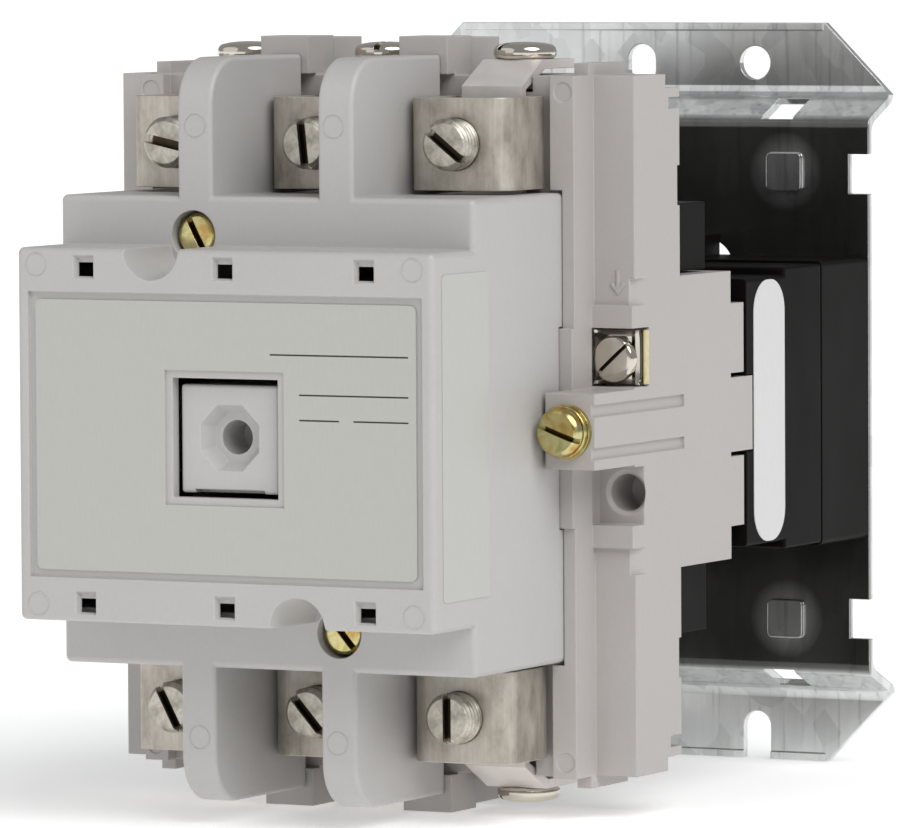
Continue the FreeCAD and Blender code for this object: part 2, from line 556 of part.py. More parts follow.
def make_upper_base():
    """Moulding that carries the straps and guides the crossbar, with a skirt over the coil."""
    solids = [block("base_block", ("-neck_half_width", "base_front_y", "-base_half_height"),
                    ("neck_half_width", "base_rear_y", "base_half_height")),
              block("base_platform", ("-platform_half_width", "platform_y", "-platform_half_height"),
                    ("platform_half_width", "base_front_y + 1", "platform_half_height"))]
    solids += both_sides("side_flange", ("49.2", "side_flange_y", "-base_half_height"),
                         ("neck_half_width", "base_front_y + 1", "base_half_height"))
    solids += both_sides("waist_flange", ("platform_half_width - 0.5", "waist_rear_y + 0.3",
                                          "-waist_half_height + 0.3"),
                         ("neck_half_width", "side_flange_y + 1", "waist_half_height - 0.3"))
    solids += four_ways("corner_flange", ("corner_flange_x", "side_flange_y", "50"),
                        ("50", "base_front_y + 1", "base_half_height"))
    solids += both_sides("channel", ("neck_half_width - 1", "channel_y", "-base_half_height"),
                         ("body_half_width", "base_rear_y", "base_half_height"))
    solids += both_sides("boss", ("50", "boss_front_y", "-boss_half_height"),
                         ("body_half_width", "channel_y + 1", "boss_half_height"))
    solids += four_ways("pocket_lip", ("pocket_inner_x", "channel_y - 1.2", "pocket_outer_z"),
                        ("body_half_width", "channel_y + 1", "lip_outer_z"))
    solids.append(block("skirt", ("-body_half_width", "base_rear_y - 1", "-skirt_half_height"),
                        ("body_half_width", "skirt_rear_y", "skirt_half_height")))
    step_rear = "coil_front_y - 1.4"
    solids += four_ways("skirt_step", ("body_half_width - 4", "skirt_rear_y - 1", "9"),
                        ("body_half_width", step_rear, "24"))
    solids += both_sides("skirt_ear", ("body_half_width - 4", "skirt_rear_y - 1", "-boss_half_height"),
                         ("body_half_width", "coil_front_y + 3", "boss_half_height"))
    solids += four_ways("tower", ("pole_pitch / 2 - 5.7", "barrier_rear_y + 0.3", "tower_foot_z"),
                        ("pole_pitch / 2 + 5.7", "base_front_y + 8", "tower_top_z"))
    solids += four_ways("tower_root", ("pole_pitch / 2 - 5.7", "base_front_y", "base_half_height - 1"),
                        ("pole_pitch / 2 + 5.7", "base_front_y + 8", "tower_foot_z + 1"))
    solids += four_ways("rear_tower", ("pole_pitch / 2 - 3.6", "base_front_y + 7", "base_half_height - 2"),
                        ("pole_pitch / 2 + 3.6", "base_rear_y - 3", "tower_top_z - 0.5"))
    solids += four_ways("outer_tower", ("neck_half_width - 3.4", "base_front_y + 4",
                                        "base_half_height - 2"),
                        ("neck_half_width", "base_rear_y - 6", "base_half_height + 2.6"))
    whole = join("base_outer", solids)
    wall = "base_wall"
    cuts = [block("rear_hollow", ("-neck_half_width + 3", "base_front_y + 7", "-base_half_height + 3"),
                  ("neck_half_width - 3", "base_rear_y - 14", "base_half_height - 3")),
            block("skirt_hollow", ("-body_half_width + " + wall, "base_rear_y - 3",
                                   "-skirt_half_height + " + wall),
                  ("body_half_width - " + wall, "skirt_rear_y + 12", "skirt_half_height - " + wall)),
            block("stem_hole", ("-stem_half_width - 0.3", "platform_y - 1", "-stem_half_height - 0.3"),
                  ("stem_half_width + 0.3", "base_rear_y", "stem_half_height + 0.3"))]
    cuts += four_ways("rear_pocket", ("4", "base_rear_y - 17", "skirt_half_height + 3"),
                      ("neck_half_width - 3", "base_rear_y + 1", "base_half_height - 3"))
    cuts += both_sides("terminal_pocket", ("pocket_inner_x", "channel_y - 1.1", "pocket_inner_z"),
                       ("body_half_width + 1", "pocket_floor_y", "pocket_outer_z"))
    cuts += both_sides("hole_pocket", ("pocket_inner_x + 0.6", "channel_y - 1.1", "-pocket_outer_z"),
                       ("body_half_width + 1", "-127", "-pocket_inner_z"))
    cuts += [edge_chamfer(side, end) for side in (-1, 1) for end in (-1, 1)]
    cuts += both_sides("boss_groove_top", ("body_half_width - 0.7", "boss_front_y - 1", "3.1"),
                       ("body_half_width + 1", "base_rear_y + 2", "5.7"))
    cuts += both_sides("boss_groove_low", ("body_half_width - 0.7", "boss_front_y - 1", "-5.8"),
                       ("body_half_width + 1", "base_rear_y + 2", "-3.3"))
    cuts += four_ways("top_corner", ("neck_half_width - 1", "base_rear_y - 6.7", "base_half_height - 2.9"),
                      ("body_half_width + 1", "base_rear_y + 20", "base_half_height + 8"))
    cuts += four_ways("rear_corner", ("body_half_width - 6", "base_rear_y - 1.1", "46"),
                      ("body_half_width + 1", "base_rear_y + 20", "54.5"))
    cuts += four_ways("tab_notch", ("body_half_width - 6", "base_rear_y - 5.2", "66.6"),
                      ("body_half_width + 1", "base_rear_y + 20", "69"))
    for pole, x in POLES.items():
        cuts += top_and_bottom("strap_clearance_" + pole,
                               (x + " - strap_width / 2 - 0.4", "base_front_y - 1", "strap_tab_z - 4.8"),
                               (x + " + strap_width / 2 + 0.4", "tab_screw_y - 3.6", "strap_tab_z"))
    for side in (-1, 1):
        x = "%d * captive_x" % side
        cuts.append(rod("captive_hole_%d" % side, "Y", (x, "boss_front_y - 1", "0"), "90",
                        "captive_radius + 0.15"))
        x = "%d * side_hole_x" % side
        cuts.append(rod("side_hole_%d" % side, "Y", (x, "-128", "-terminal_z"), "12", "side_hole_radius"))
        cuts.append(rod("side_hole_rim_%d" % side, "Y", (x, "-127.01", "-terminal_z"), "0.8",
                        "side_hole_radius + 0.8", "side_hole_radius"))
        x = "%d * terminal_x" % side
        cuts.append(rod("coil_screw_hole_%d" % side, "Y", (x, "-126", "terminal_z"), "9", "2.2"))
        for end in (-1, 1):
            cuts.append(rod("ejector_mark_%d_%d" % (side, end), "Y",
                            ("%d * ejector_x" % side, "side_flange_y - 0.01", "%d * ejector_z" % end),
                            "0.25", "ejector_radius"))
    for end in (-1, 1):
        cuts.append(rod("cover_screw_hole_%d" % end, "Y", ("%d * cover_screw_x" % -end, "platform_y - 1",
                                                           "%d * cover_screw_z" % end), "16", "2.15"))
    for pole, x in POLES.items():
        for end in (-1, 1):
            name = "%s_%d" % (pole, end)
            cuts.append(rod("tab_shank_%s" % name, "Z", (x, "tab_screw_y", 66 if end > 0 else -76), "10",
                            "tab_screw_shank + 0.1"))
    keep("upper_base", cut("upper_base_finished", whole, cuts))


def make_captive_screws():
    """Side screws that hold the upper base, coil and lower base together."""
    washers = []
    for node, side, angle in (("captive_screw_right", 1, 38), ("captive_screw_left", -1, 110)):
        x = "%d * captive_x" % side
        face = "boss_front_y - 5.2"
        head = rod(node + "_head", "Y", (x, face, "0"), "3.9", "captive_head")
        head = soften(node + "_dome", head, 1.6, at_y(size(face)))
        shank = rod(node + "_shank", "Y", (x, "boss_front_y - 2", "0"), "122", "captive_radius")
        slot = turned_slot(node + "_slot", (size(x), size(face), 0), "Y", 14, 1.6, 2.0, angle)
        keep(node, cut(node + "_cut", join(node + "_blank", [head, shank]), [slot]))
        ring = rod(node + "_ring", "Y", (x, "boss_front_y - 1.2", "0"), "1.2", "captive_head + 0.1")
        bore = rod(node + "_ring_bore", "Y", (x, "boss_front_y - 2", "0"), "3", "captive_radius + 0.1")
        washers.append(cut(node + "_washer", ring, [bore]))
    keep("captive_washers", group("captive_washer_pair", washers))


def make_coil_terminals():
    """Saddle clamp, tapped plate and screw on each side of the coil, in the base's pockets."""
    saddles, plates = [], []
    for node, side, angle in (("coil_screw_right", 1, -45), ("coil_screw_left", -1, 30)):
        x = "%d * terminal_x" % side
        head = rod(node + "_head", "Y", (x, "-132.0", "terminal_z"), "2.8", "4.9")
        head = soften(node + "_dome", head, 0.9, at_y(-132.0))
        shank = rod(node + "_shank", "Y", (x, "-130", "terminal_z"), "10", "2.0")
        slot = turned_slot(node + "_slot", (size(x), -132.0, size("terminal_z")), "Y", 12, 1.3, 1.3, angle)
        keep(node, cut(node + "_cut", join(node + "_blank", [head, shank]), [slot]))
        low_x, high_x = sorted((50.7 * side, 61.3 * side))
        saddle = block(node + "_saddle", (low_x, "-129.2", "8.8"), (high_x, "-127.8", "20.3"))
        plate = block(node + "_plate", (low_x, "-126.0", "8.8"), (high_x, "-124.6", "20.3"))
        bore = rod(node + "_saddle_bore", "Y", (x, "-130", "terminal_z"), "8", "2.05")
        ears = [block(node + "_ear_%d" % i, (low_x, "-128", z), (high_x, "-126.6", "%s + 1.2" % z))
                for i, z in enumerate(("8.8", "19.1"))]
        saddles.append(cut(node + "_saddle_cut", join(node + "_saddle_all", [saddle] + ears), [bore]))
        second_bore = rod(node + "_plate_bore", "Y", (x, "-130", "terminal_z"), "8", "2.05")
        plates.append(cut(node + "_plate_cut", plate, [second_bore]))
    keep("coil_saddle_clamps", group("saddle_pair", saddles))
    keep("coil_terminal_plates", group("terminal_plate_pair", plates))


# ---------------------------------------------------------------- coil, magnet and lower base
def make_coil():
    """Encapsulated coil: a moulded case with windows for the three legs of the core."""
    front = block("coil_front", ("-body_half_width", "coil_front_y", "-coil_half_height"),
                  ("body_half_width", "coil_step_y + 1", "coil_half_height"))
    rear = block("coil_rear", ("-body_half_width", "coil_step_y", "-coil_half_height - 1.8"),
                 ("body_half_width", "coil_rear_y", "coil_half_height + 1.8"))
    front = soften("coil_front_round", front, 0.8, along(Y_AXIS))
    rear = soften("coil_rear_round", rear, 0.6, either(along(Y_AXIS), at_y(size("coil_step_y"))))
    leg = "core_half_height + 0.3"
    cuts = [block("centre_window", ("-centre_leg_half - 0.3", "coil_front_y - 1", "-(%s)" % leg),
                  ("centre_leg_half + 0.3", "coil_rear_y + 1", leg))]
    cuts += both_sides("outer_window", ("core_half_width - core_leg - 0.3", "coil_front_y - 1",
                                        "-(%s)" % leg),
                       ("core_half_width + 0.3", "coil_rear_y + 1", leg))
    cuts += both_sides("ear_notch", ("body_half_width - 4.3", "coil_front_y - 1",
                                     "-boss_half_height - 0.3"),
                       ("body_half_width + 1", "coil_front_y + 3.3", "boss_half_height + 0.3"))
    cuts += [rod("coil_hole_%d" % side, "Y", ("%d * captive_x" % side, "coil_front_y - 1", "0"),
                 "45", "3.0")
             for side in (-1, 1)]
    cuts.append(winding_ring("winding_cavity", 0.2))
    keep("coil_case", cut("coil_case_cut", join("coil_blank", [front, rear]), cuts))
    keep("coil_winding", winding_ring("winding", 0.0))
    label = block("coil_label_blank", ("body_half_width", "coil_front_y + 3.5", "-28.4"),
                  ("body_half_width + 0.15", "coil_step_y - 0.2", "28.4"))
    keep("coil_label", soften("coil_label_round", label, 7.0, along(X_AXIS)))


def winding_ring(name, play):
    """Copper winding round the core's centre leg, grown by play where it makes its own cavity."""
    outer = block(name + "_outer", ("-17.6 - %s" % play, "coil_front_y + 3 - %s" % play,
                                    "-24.5 - %s" % play),
                  ("17.6 + %s" % play, "coil_rear_y - 3 + %s" % play, "24.5 + %s" % play))
    inner = block(name + "_inner", ("-10.2 + %s" % play, "coil_front_y", "-16.3 + %s" % play),
                  ("10.2 - %s" % play, "coil_rear_y", "16.3 - %s" % play))
    return cut(name + "_ring", outer, [inner])


def make_magnet():
    """E-shaped laminated core, its cushion, shading rings and the armature it pulls."""
    back = block("core_back", ("-core_half_width", "-38", "-core_half_height"),
                 ("core_half_width", "-22", "core_half_height"))
    legs = both_sides("core_outer_leg", ("core_half_width - core_leg", "pole_face_y", "-core_half_height"),
                      ("core_half_width", "-37", "core_half_height"))
    legs.append(block("core_centre_leg", ("-centre_leg_half", "pole_face_y + 0.6", "-core_half_height"),
                      ("centre_leg_half", "-37", "core_half_height")))
    grooves = [shading_ring(side, 0.08) for side in (-1, 1)]
    rings = [shading_ring(side, 0.0) for side in (-1, 1)]
    keep("magnet_core", cut("magnet_core_cut", join("core_blank", [back] + legs), grooves))
    keep("shading_rings", group("shading_ring_pair", rings))
    keep("magnet_cushion", block("cushion", ("-30", "-22", "-12"), ("30", "-18.2", "12")))
    armature = block("armature_bar", ("-core_half_width", "yoke_rear_y", "-core_half_height"),
                     ("core_half_width", "yoke_rear_y + armature_depth", "core_half_height"))
    pin_hole = rod("armature_pin_hole", "X", ("-40", "yoke_rear_y + 5", "0"), "80", "2.5")
    keep("armature", cut("armature_cut", armature, [pin_hole]))
    keep("armature_pin", rod("armature_pin_rod", "X", ("-36", "yoke_rear_y + 5", "0"), "72", "2.45"))


def shading_ring(side, play):
    """Copper ring let into an outer pole face, grown by play where it makes its own groove."""
    low_x, high_x = sorted((side * 23.6, side * 29.6))
    face = "pole_face_y - 1" if play else "pole_face_y + 0.1"
    name = "shading_%s_%d" % ("groove" if play else "ring", side)
    outer = block(name + "_outer", (low_x - play, face, -12.9 - play),
                  (high_x + play, "pole_face_y + 2.5 + %s" % play, 12.9 + play))
    inner = block(name + "_inner", (low_x + 1.5 + play, "pole_face_y - 2", -11.4 + play),
                  (high_x - 1.5 - play, "pole_face_y + 3", 11.4 - play))
    return cut(name, outer, [inner])


def make_lower_base():
    """Black moulding that seats the core and ties the starter to the plate's web."""
    web_front = "-web_stand_off - sheet"
    main_block = block("lower_block", ("-body_half_width", "lower_front_y", "-lower_half_height"),
                       ("body_half_width", web_front, "lower_half_height"))
    solids = [soften("lower_block_round", main_block, 1.2, along(Y_AXIS))]
    solids += top_and_bottom("bridge_wall", ("-25", "base_rear_y + 2", "skirt_half_height + 0.5"),
                             ("25", web_front, "skirt_half_height + 5"))
    solids += top_and_bottom("front_bar", ("-57", "base_rear_y + 0.2", "skirt_half_height + 0.5"),
                             ("57", "base_rear_y + 21.5", "46"))
    solids += top_and_bottom("bridge_foot", ("-25", "lower_front_y", "lower_half_height - 2"),
                             ("25", web_front, "skirt_half_height + 3"))
    cuts = [block("core_seat", ("-core_half_width - 0.3", "lower_front_y - 1", "-core_half_height - 0.3"),
                  ("core_half_width + 0.3", "-18", "core_half_height + 0.3"))]
    for side in (-1, 1):
        cuts.append(rod("captive_thread_%d" % side, "Y", ("%d * captive_x" % side,
                                                          "lower_front_y - 1", "0"),
                        "12", "captive_radius + 0.05"))
        for end in (-1, 1):
            cuts.append(rod("plate_screw_thread_%d_%d" % (side, end), "Y", plate_screw_at(side, end, "-24"),
                            "12", "2.1"))
    keep("lower_base", cut("lower_base_cut", join("lower_blank", solids), cuts))
    screws = []
    for side in (-1, 1):
        for end in (-1, 1):
            name = "plate_screw_%d_%d" % (side, end)
            head = rod(name + "_head", "Y", plate_screw_at(side, end, "-web_stand_off"), "3", "4.2")
            shank = rod(name + "_shank", "Y", plate_screw_at(side, end, "-22"),
                        "-web_stand_off + 23", "2.05")
            x, y, z = (size(word) for word in plate_screw_at(side, end, "-web_stand_off + 3"))
            slot = turned_slot(name + "_slot", (x, y, z), "Y", 10, 1.2, 1.3, 20)
            screws.append(cut(name, join(name + "_blank", [head, shank]), [slot]))
    keep("plate_screws", group("plate_screw_set", screws))


# ---------------------------------------------------------------- moving system
def make_crossbar():
    """Contact carrier: the plunger in the window, a beam across the poles, a stem and a yoke."""
    head = block("plunger", ("-plunger_half", "plunger_face_y", "-plunger_half"),
                 ("plunger_half", "beam_front_y", "plunger_top_z"))
    head = soften("plunger_round", head, 0.7, either(along(Y_AXIS), at_y(size("plunger_face_y"))))
    solids = [head,
              block("beam", ("-pole_pitch - 9", "beam_front_y", "-9"),
                    ("pole_pitch + 9", "beam_rear_y", "9")),
              block("stem", ("-stem_half_width", "beam_rear_y - 1", "-stem_half_height"),
                    ("stem_half_width", "yoke_rear_y", "stem_half_height")),
              block("yoke", ("-core_half_width - 18", "yoke_front_y", "-10"),
                    ("core_half_width + 18", "yoke_rear_y", "10"))]
    solids += both_sides("yoke_cheek", ("core_half_width + 0.2", "yoke_rear_y - 1", "-8"),
                         ("core_half_width + 3.6", "yoke_rear_y + 9", "8"))
    face = size("plunger_face_y")
    cuts = [octagon_funnel(face), rod("plunger_socket", "Y", ("0", face, "0"), "13", "3.6"),
            block("plunger_notch", ("-8.2", "plunger_face_y - 1", "-plunger_half - 1"),
                  ("8.2", "plunger_face_y + 3", "-plunger_half + 0.8")),
            rod("yoke_pin_hole", "X", ("-40", "yoke_rear_y + 5", "0"), "80", "2.5")]
    for x in ("-pole_pitch", "pole_pitch"):
        cuts.append(block("bridge_window", (x + " - 6.5", "beam_front_y + 3", "-30"),
                          (x + " + 6.5", "beam_rear_y - 2.2", "30")))
    cuts.append(block("middle_window", ("-6.5", "beam_front_y + 3", "-30"),
                      ("6.5", "beam_rear_y - 2.2", "30")))
    keep("crossbar", cut("crossbar_cut", join("crossbar_blank", solids), cuts))


def octagon_funnel(face):
    """Tapered eight-sided recess in the plunger's face."""
    loops = []
    for level, flat in ((face - 0.01, 6.9), (face + 3.4, 5.0)):
        reach = flat / math.cos(math.pi / 8)
        corners = [Vector(reach * math.cos(a), level, reach * math.sin(a))
                   for a in (math.pi / 8 + i * math.pi / 4 for i in range(8))]
        loops.append(Part.makePolygon(corners + corners[:1]))
    return free_shape("octagon_funnel", Part.makeLoft(loops, True, True))


def make_contact_bridges():
    """Moving contact bars with a silver contact at each end, and the springs that press them."""
    seat = "beam_rear_y - 2.2 - bridge_thickness"
    for pole, x in POLES.items():
        bar = block("bar_" + pole, (x + " - bridge_half_width", seat, "-bridge_half_length"),
                    (x + " + bridge_half_width", "beam_rear_y - 2.25", "bridge_half_length"))
        bar = soften("bar_round_" + pole, bar, 2.0, along(Y_AXIS))
        tips = [rod("moving_tip_%s_%d" % (pole, end), "Y", (x, "beam_rear_y - 2.3", "%d * tip_z" % end),
                    "strap_front_y - tip_thickness - 5.2 - (beam_rear_y - 2.3)", "tip_radius") for end in (-1, 1)]
        keep("contact_bridge_" + pole, join("bridge_" + pole, [bar] + tips))
        length = size(seat) - size("beam_front_y + 3")
        spring = coil_spring("contact_coil_" + pole, 3.4, 0.5, length - 1.4, 4)
        start = Vector(size(x), size("beam_front_y + 3") + 0.7, 0)
        spring.Placement = FreeCAD.Placement(start, TURNS["Y"])
        keep("contact_spring_" + pole, spring)


def coil_spring(name, radius, wire, length, turns):
    """Compression spring on +Z from the origin: a round wire swept along a helix."""
    helix = Part.makeHelix((length - 2 * wire) / turns, length - 2 * wire, radius)
    profile = Part.Wire(Part.makeCircle(wire, Vector(radius, 0, 0), Vector(0, 1, 0)))
    shape = Part.Wire(helix).makePipeShell([profile], True, True)
    shape.translate(Vector(0, 0, wire))
    return free_shape(name, shape)


def make_kickout_springs():
    """Return springs between the crossbar's yoke and the coil."""
    for node, side in (("kickout_spring_right", 1), ("kickout_spring_left", -1)):
        length = size("coil_front_y - yoke_rear_y") - 1.0
        spring = coil_spring(node + "_coil", 4.2, size("spring_wire"), length, 7)
        start = Vector(side * size("spring_x"), size("yoke_rear_y") + 0.5, 0)
        spring.Placement = FreeCAD.Placement(start, TURNS["Y"])
        keep(node, spring)


for make in (make_mounting_plate, make_arc_box, make_nameplate, make_side_label, make_cover_screws,
             make_lugs,
             make_set_screws, make_straps, make_tab_screws, make_upper_base, make_captive_screws,
             make_coil_terminals, make_coil, make_magnet, make_lower_base, make_crossbar,
             make_contact_bridges, make_kickout_springs):
    make()

# ---------------------------------------------------------------- check, then write
doc.recompute()
for thing in doc.Objects:
    if "Invalid" in thing.State or "Error" in thing.State:
        raise RuntimeError("%s failed to recompute" % thing.Name)
for node, thing in parts.items():
    if thing.Shape.isNull() or not thing.Shape.isValid():
        raise RuntimeError("%s has no valid shape" % node)

os.makedirs("parts", exist_ok=True)
for node, thing in parts.items():
    thing.Shape.exportStep("parts/%s.step" % node)
    print("%-26s %2d solid(s) %10.1f mm3" % (node, len(thing.Shape.Solids), thing.Shape.Volume))
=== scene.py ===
"""Finishes and fine pieces of a three-pole magnetic motor starter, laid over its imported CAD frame."""
import json
import math

import bmesh
import bpy
from mathutils import Matrix, Vector

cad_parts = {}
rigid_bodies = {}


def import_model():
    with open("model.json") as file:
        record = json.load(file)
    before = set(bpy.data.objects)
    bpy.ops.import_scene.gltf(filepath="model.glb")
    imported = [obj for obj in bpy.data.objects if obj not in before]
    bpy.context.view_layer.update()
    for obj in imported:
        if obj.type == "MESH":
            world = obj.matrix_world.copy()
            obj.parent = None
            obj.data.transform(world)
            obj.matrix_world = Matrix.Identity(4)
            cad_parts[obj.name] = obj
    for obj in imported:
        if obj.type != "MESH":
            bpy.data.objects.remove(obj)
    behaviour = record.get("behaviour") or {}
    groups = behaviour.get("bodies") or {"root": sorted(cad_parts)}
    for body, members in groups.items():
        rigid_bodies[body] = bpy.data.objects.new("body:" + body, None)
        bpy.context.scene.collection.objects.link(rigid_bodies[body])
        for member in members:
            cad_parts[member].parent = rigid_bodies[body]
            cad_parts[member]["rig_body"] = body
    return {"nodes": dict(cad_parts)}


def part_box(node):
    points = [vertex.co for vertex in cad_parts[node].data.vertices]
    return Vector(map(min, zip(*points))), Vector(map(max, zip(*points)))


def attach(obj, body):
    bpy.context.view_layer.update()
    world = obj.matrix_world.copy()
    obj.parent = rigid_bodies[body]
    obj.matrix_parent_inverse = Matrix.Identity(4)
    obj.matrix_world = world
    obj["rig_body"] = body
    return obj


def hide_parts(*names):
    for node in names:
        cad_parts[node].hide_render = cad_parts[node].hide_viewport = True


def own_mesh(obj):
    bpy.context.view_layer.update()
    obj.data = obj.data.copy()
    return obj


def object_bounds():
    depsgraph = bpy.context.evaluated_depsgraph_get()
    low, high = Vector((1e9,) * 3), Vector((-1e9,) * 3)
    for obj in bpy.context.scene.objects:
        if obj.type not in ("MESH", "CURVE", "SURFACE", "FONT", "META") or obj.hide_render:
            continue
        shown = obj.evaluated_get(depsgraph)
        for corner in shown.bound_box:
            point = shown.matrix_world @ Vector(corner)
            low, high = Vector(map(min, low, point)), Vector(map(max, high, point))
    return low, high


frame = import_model()

bl_info = {
    "name": "Magnetic Motor Starter",
    "version": (1, 0, 0),
    "blender": (4, 5, 0),
    "location": "View3D > Sidebar > Starter",
    "description": "Finishes, screws, springs and marks of a three-pole magnetic motor starter",
    "category": "Object",
}

MM = 0.001
SHARP_EDGE = math.radians(32)
BEVEL_SAMPLES = 6
CAD_LOW, CAD_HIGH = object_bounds()
POLES = ("left", "middle", "right")
ENDS = {"line": 1, "load": -1}
TURN_OUTWARD = {
    "front": Matrix.Rotation(math.radians(90), 4, "X"),
    "top": Matrix.Identity(4),
    "bottom": Matrix.Rotation(math.radians(180), 4, "X"),
}


# ---------------------------------------------------------------- colour, nodes and meshes
def linear(hex_colour):
    """An sRGB colour such as #C9C5BE as the linear red, green, blue and alpha that shaders take."""
    channels = [int(hex_colour[i:i + 2], 16) / 255 for i in (1, 3, 5)]
    return [c / 12.92 if c <= 0.04045 else ((c + 0.055) / 1.055) ** 2.4 for c in channels] + [1.0]


def per_mm(width):
    """The texture scale that makes one feature of a pattern this many millimetres wide."""
    return 1.0 / (width * MM)


def add_node(material, kind, inputs=None, **settings):
    """Adds a shader node with its settings; inputs are values or the sockets that feed them."""
    node = material.node_tree.nodes.new(kind)
    for name, value in settings.items():
        setattr(node, name, value)
    for name, value in (inputs or {}).items():
        if isinstance(value, bpy.types.NodeSocket):
            material.node_tree.links.new(value, node.inputs[name])
        else:
            node.inputs[name].default_value = value
    return node


def new_material(name, **shader):
    """A material whose Principled shader has these uniform values, by socket name with _ for spaces."""
    material = bpy.data.materials.new(name)
    material.use_nodes = True
    principled = material.node_tree.nodes["Principled BSDF"]
    for socket, value in shader.items():
        principled.inputs[socket.replace("_", " ")].default_value = value
    return material, principled


def place(material, stretch=(1, 1, 1)):
    """The piece's own coordinates in metres, stretched so that a pattern runs long where stretch is small."""
    where = add_node(material, "ShaderNodeTexCoord")
    return add_node(material, "ShaderNodeMapping", {"Vector": where.outputs["Object"], "Scale": stretch}).outputs[0]


def ramp(material, factor, stops):
    """A colour ramp; stops are (position, sRGB colour or grey level)."""
    node = add_node(material, "ShaderNodeValToRGB", {"Fac": factor})
    elements = node.color_ramp.elements
    while len(elements) < len(stops):
        elements.new(0.5)
    for element, (position, colour) in zip(elements, stops):
        element.position = position
        element.color = linear(colour) if isinstance(colour, str) else (colour, colour, colour, 1.0)
    return node.outputs["Color"]


def blend_colours(material, factor, first, second, blend_type="MIX"):
    """Mixes two colours; each is a socket or a linear colour."""
    inputs = {0: factor, 6: first, 7: second}
    return add_node(material, "ShaderNodeMix", inputs, data_type="RGBA", blend_type=blend_type).outputs[2]


def rounded_normal(material, radius):
    """The normal of an edge broken to this radius in millimetres."""
    return add_node(material, "ShaderNodeBevel", {"Radius": radius * MM}, samples=BEVEL_SAMPLES).outputs[0]


def fade(material, value, start, end, **ends):
    """0 where a length is start and 1 where it is end, both in millimetres; ends may give other results."""
    inputs = {"Value": value, "From Min": start * MM, "From Max": end * MM}
    inputs.update({key.replace("_", " "): result for key, result in ends.items()})
    return add_node(material, "ShaderNodeMapRange", inputs).outputs[0]


def product(material, first, second):
    """Two grey levels multiplied; each is a socket or a number."""
    return add_node(material, "ShaderNodeMath", {0: first, 1: second}, operation="MULTIPLY").outputs[0]


def edge_mask(material, rounded):
    """1 on a broken edge and 0 on the flats, from how far the rounded normal leans from the true one."""
    true = add_node(material, "ShaderNodeNewGeometry").outputs["Normal"]
    lean = add_node(material, "ShaderNodeVectorMath", {0: rounded, 1: true}, operation="DOT_PRODUCT").outputs["Value"]
    return add_node(material, "ShaderNodeMapRange", {"Value": lean, "From Min": 0.995, "From Max": 0.80}).outputs[0]


def slot_mask(material, reach):
    """1 down in a screwdriver slot, where painted shade goes, and 0 on the rest of the screw; reach is in millimetres
    off the axis.
    """
    below, aside = (add_node(material, "ShaderNodeVectorMath", {0: place(material, axes)},
                             operation="LENGTH").outputs["Value"] for axes in ((0, 0, 1), (1, 1, 0)))
    deep = fade(material, below, 0.35, 1.1)
    return product(material, deep, fade(material, aside, reach, reach * 0.93))


def relief(material, height, depth, normal=None):
    """Bump of this depth in millimetres over a height pattern that runs from 0 to 1."""
    inputs = {"Height": height, "Distance": depth * MM, "Strength": 1.0}
    if normal is not None:
        inputs["Normal"] = normal
    return add_node(material, "ShaderNodeBump", inputs).outputs[0]


def feed(material, shader, **sockets):
    """Links patterns into the Principled shader's sockets."""
    for socket, source in sockets.items():
        material.node_tree.links.new(source, shader.inputs[socket.replace("_", " ")])


def finish_node(material, slot, *nodes):
    """Gives CAD nodes a finish in their own material slots."""
    for name in nodes:
        piece = frame["nodes"][name]
        if not piece.material_slots:
            piece.data.materials.append(material)
        for material_slot in piece.material_slots:
            material_slot.material = material


def new_piece(name, mesh, material, body, at=None, stands_for=()):
    """Puts a finished mesh in the scene as a piece that rides on a CAD body."""
    piece = bpy.data.objects.new(name, mesh)
    bpy.context.scene.collection.objects.link(piece)
    if at is not None:
        piece.matrix_world = at
    mesh.materials.clear()
    mesh.materials.append(material)
    for polygon in mesh.polygons:
        polygon.use_smooth = True
    mesh.set_sharp_from_angle(angle=SHARP_EDGE)
    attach(piece, body)
    if stands_for:
        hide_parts(*stands_for)
    return piece


def mesh_from(name, build):
    """A mesh that build(bm) fills."""
    bm = bmesh.new()
    build(bm)
    bmesh.ops.recalc_face_normals(bm, faces=bm.faces)
    mesh = bpy.data.meshes.new(name)
    bm.to_mesh(mesh)
    bm.free()
    return mesh


def add_grid(bm, rows, closed_rows=False, closed_columns=True):
    """Joins rows of points into a skin; closed_columns joins the last point of a row to its first."""
    verts = [[bm.verts.new(point) for point in row] for row in rows]
    row_count, column_count = len(verts), len(verts[0])
    for i in range(row_count if closed_rows else row_count - 1):
        for j in range(column_count if closed_columns else column_count - 1):
            after, beside = (i + 1) % row_count, (j + 1) % column_count
            bm.faces.new((verts[i][j], verts[i][beside], verts[after][beside], verts[after][j]))
    return verts


def add_capped_grid(bm, rows):
    """Joins closed rows of points into a skin and closes its first and last row with a face."""
    verts = add_grid(bm, rows)
    bm.faces.new(verts[0])
    bm.faces.new(verts[-1])


def lathe(bm, profile, segments=72):
    """Turns a profile of (radius, height) in millimetres about local Z; both ends close on the axis."""
    angles = [2 * math.pi * i / segments for i in range(segments)]
    rows = [[(r * math.cos(a) * MM, r * math.sin(a) * MM, h * MM) for a in angles] for r, h in profile]
    add_capped_grid(bm, rows)


def rounded_corner(centre, radius, start, end, steps=6):
    """Points of an arc in a lathe profile, angles in degrees."""
    angles = [math.radians(start + (end - start) * i / steps) for i in range(steps + 1)]
    return [(centre[0] + radius * math.cos(a), centre[1] + radius * math.sin(a)) for a in angles]


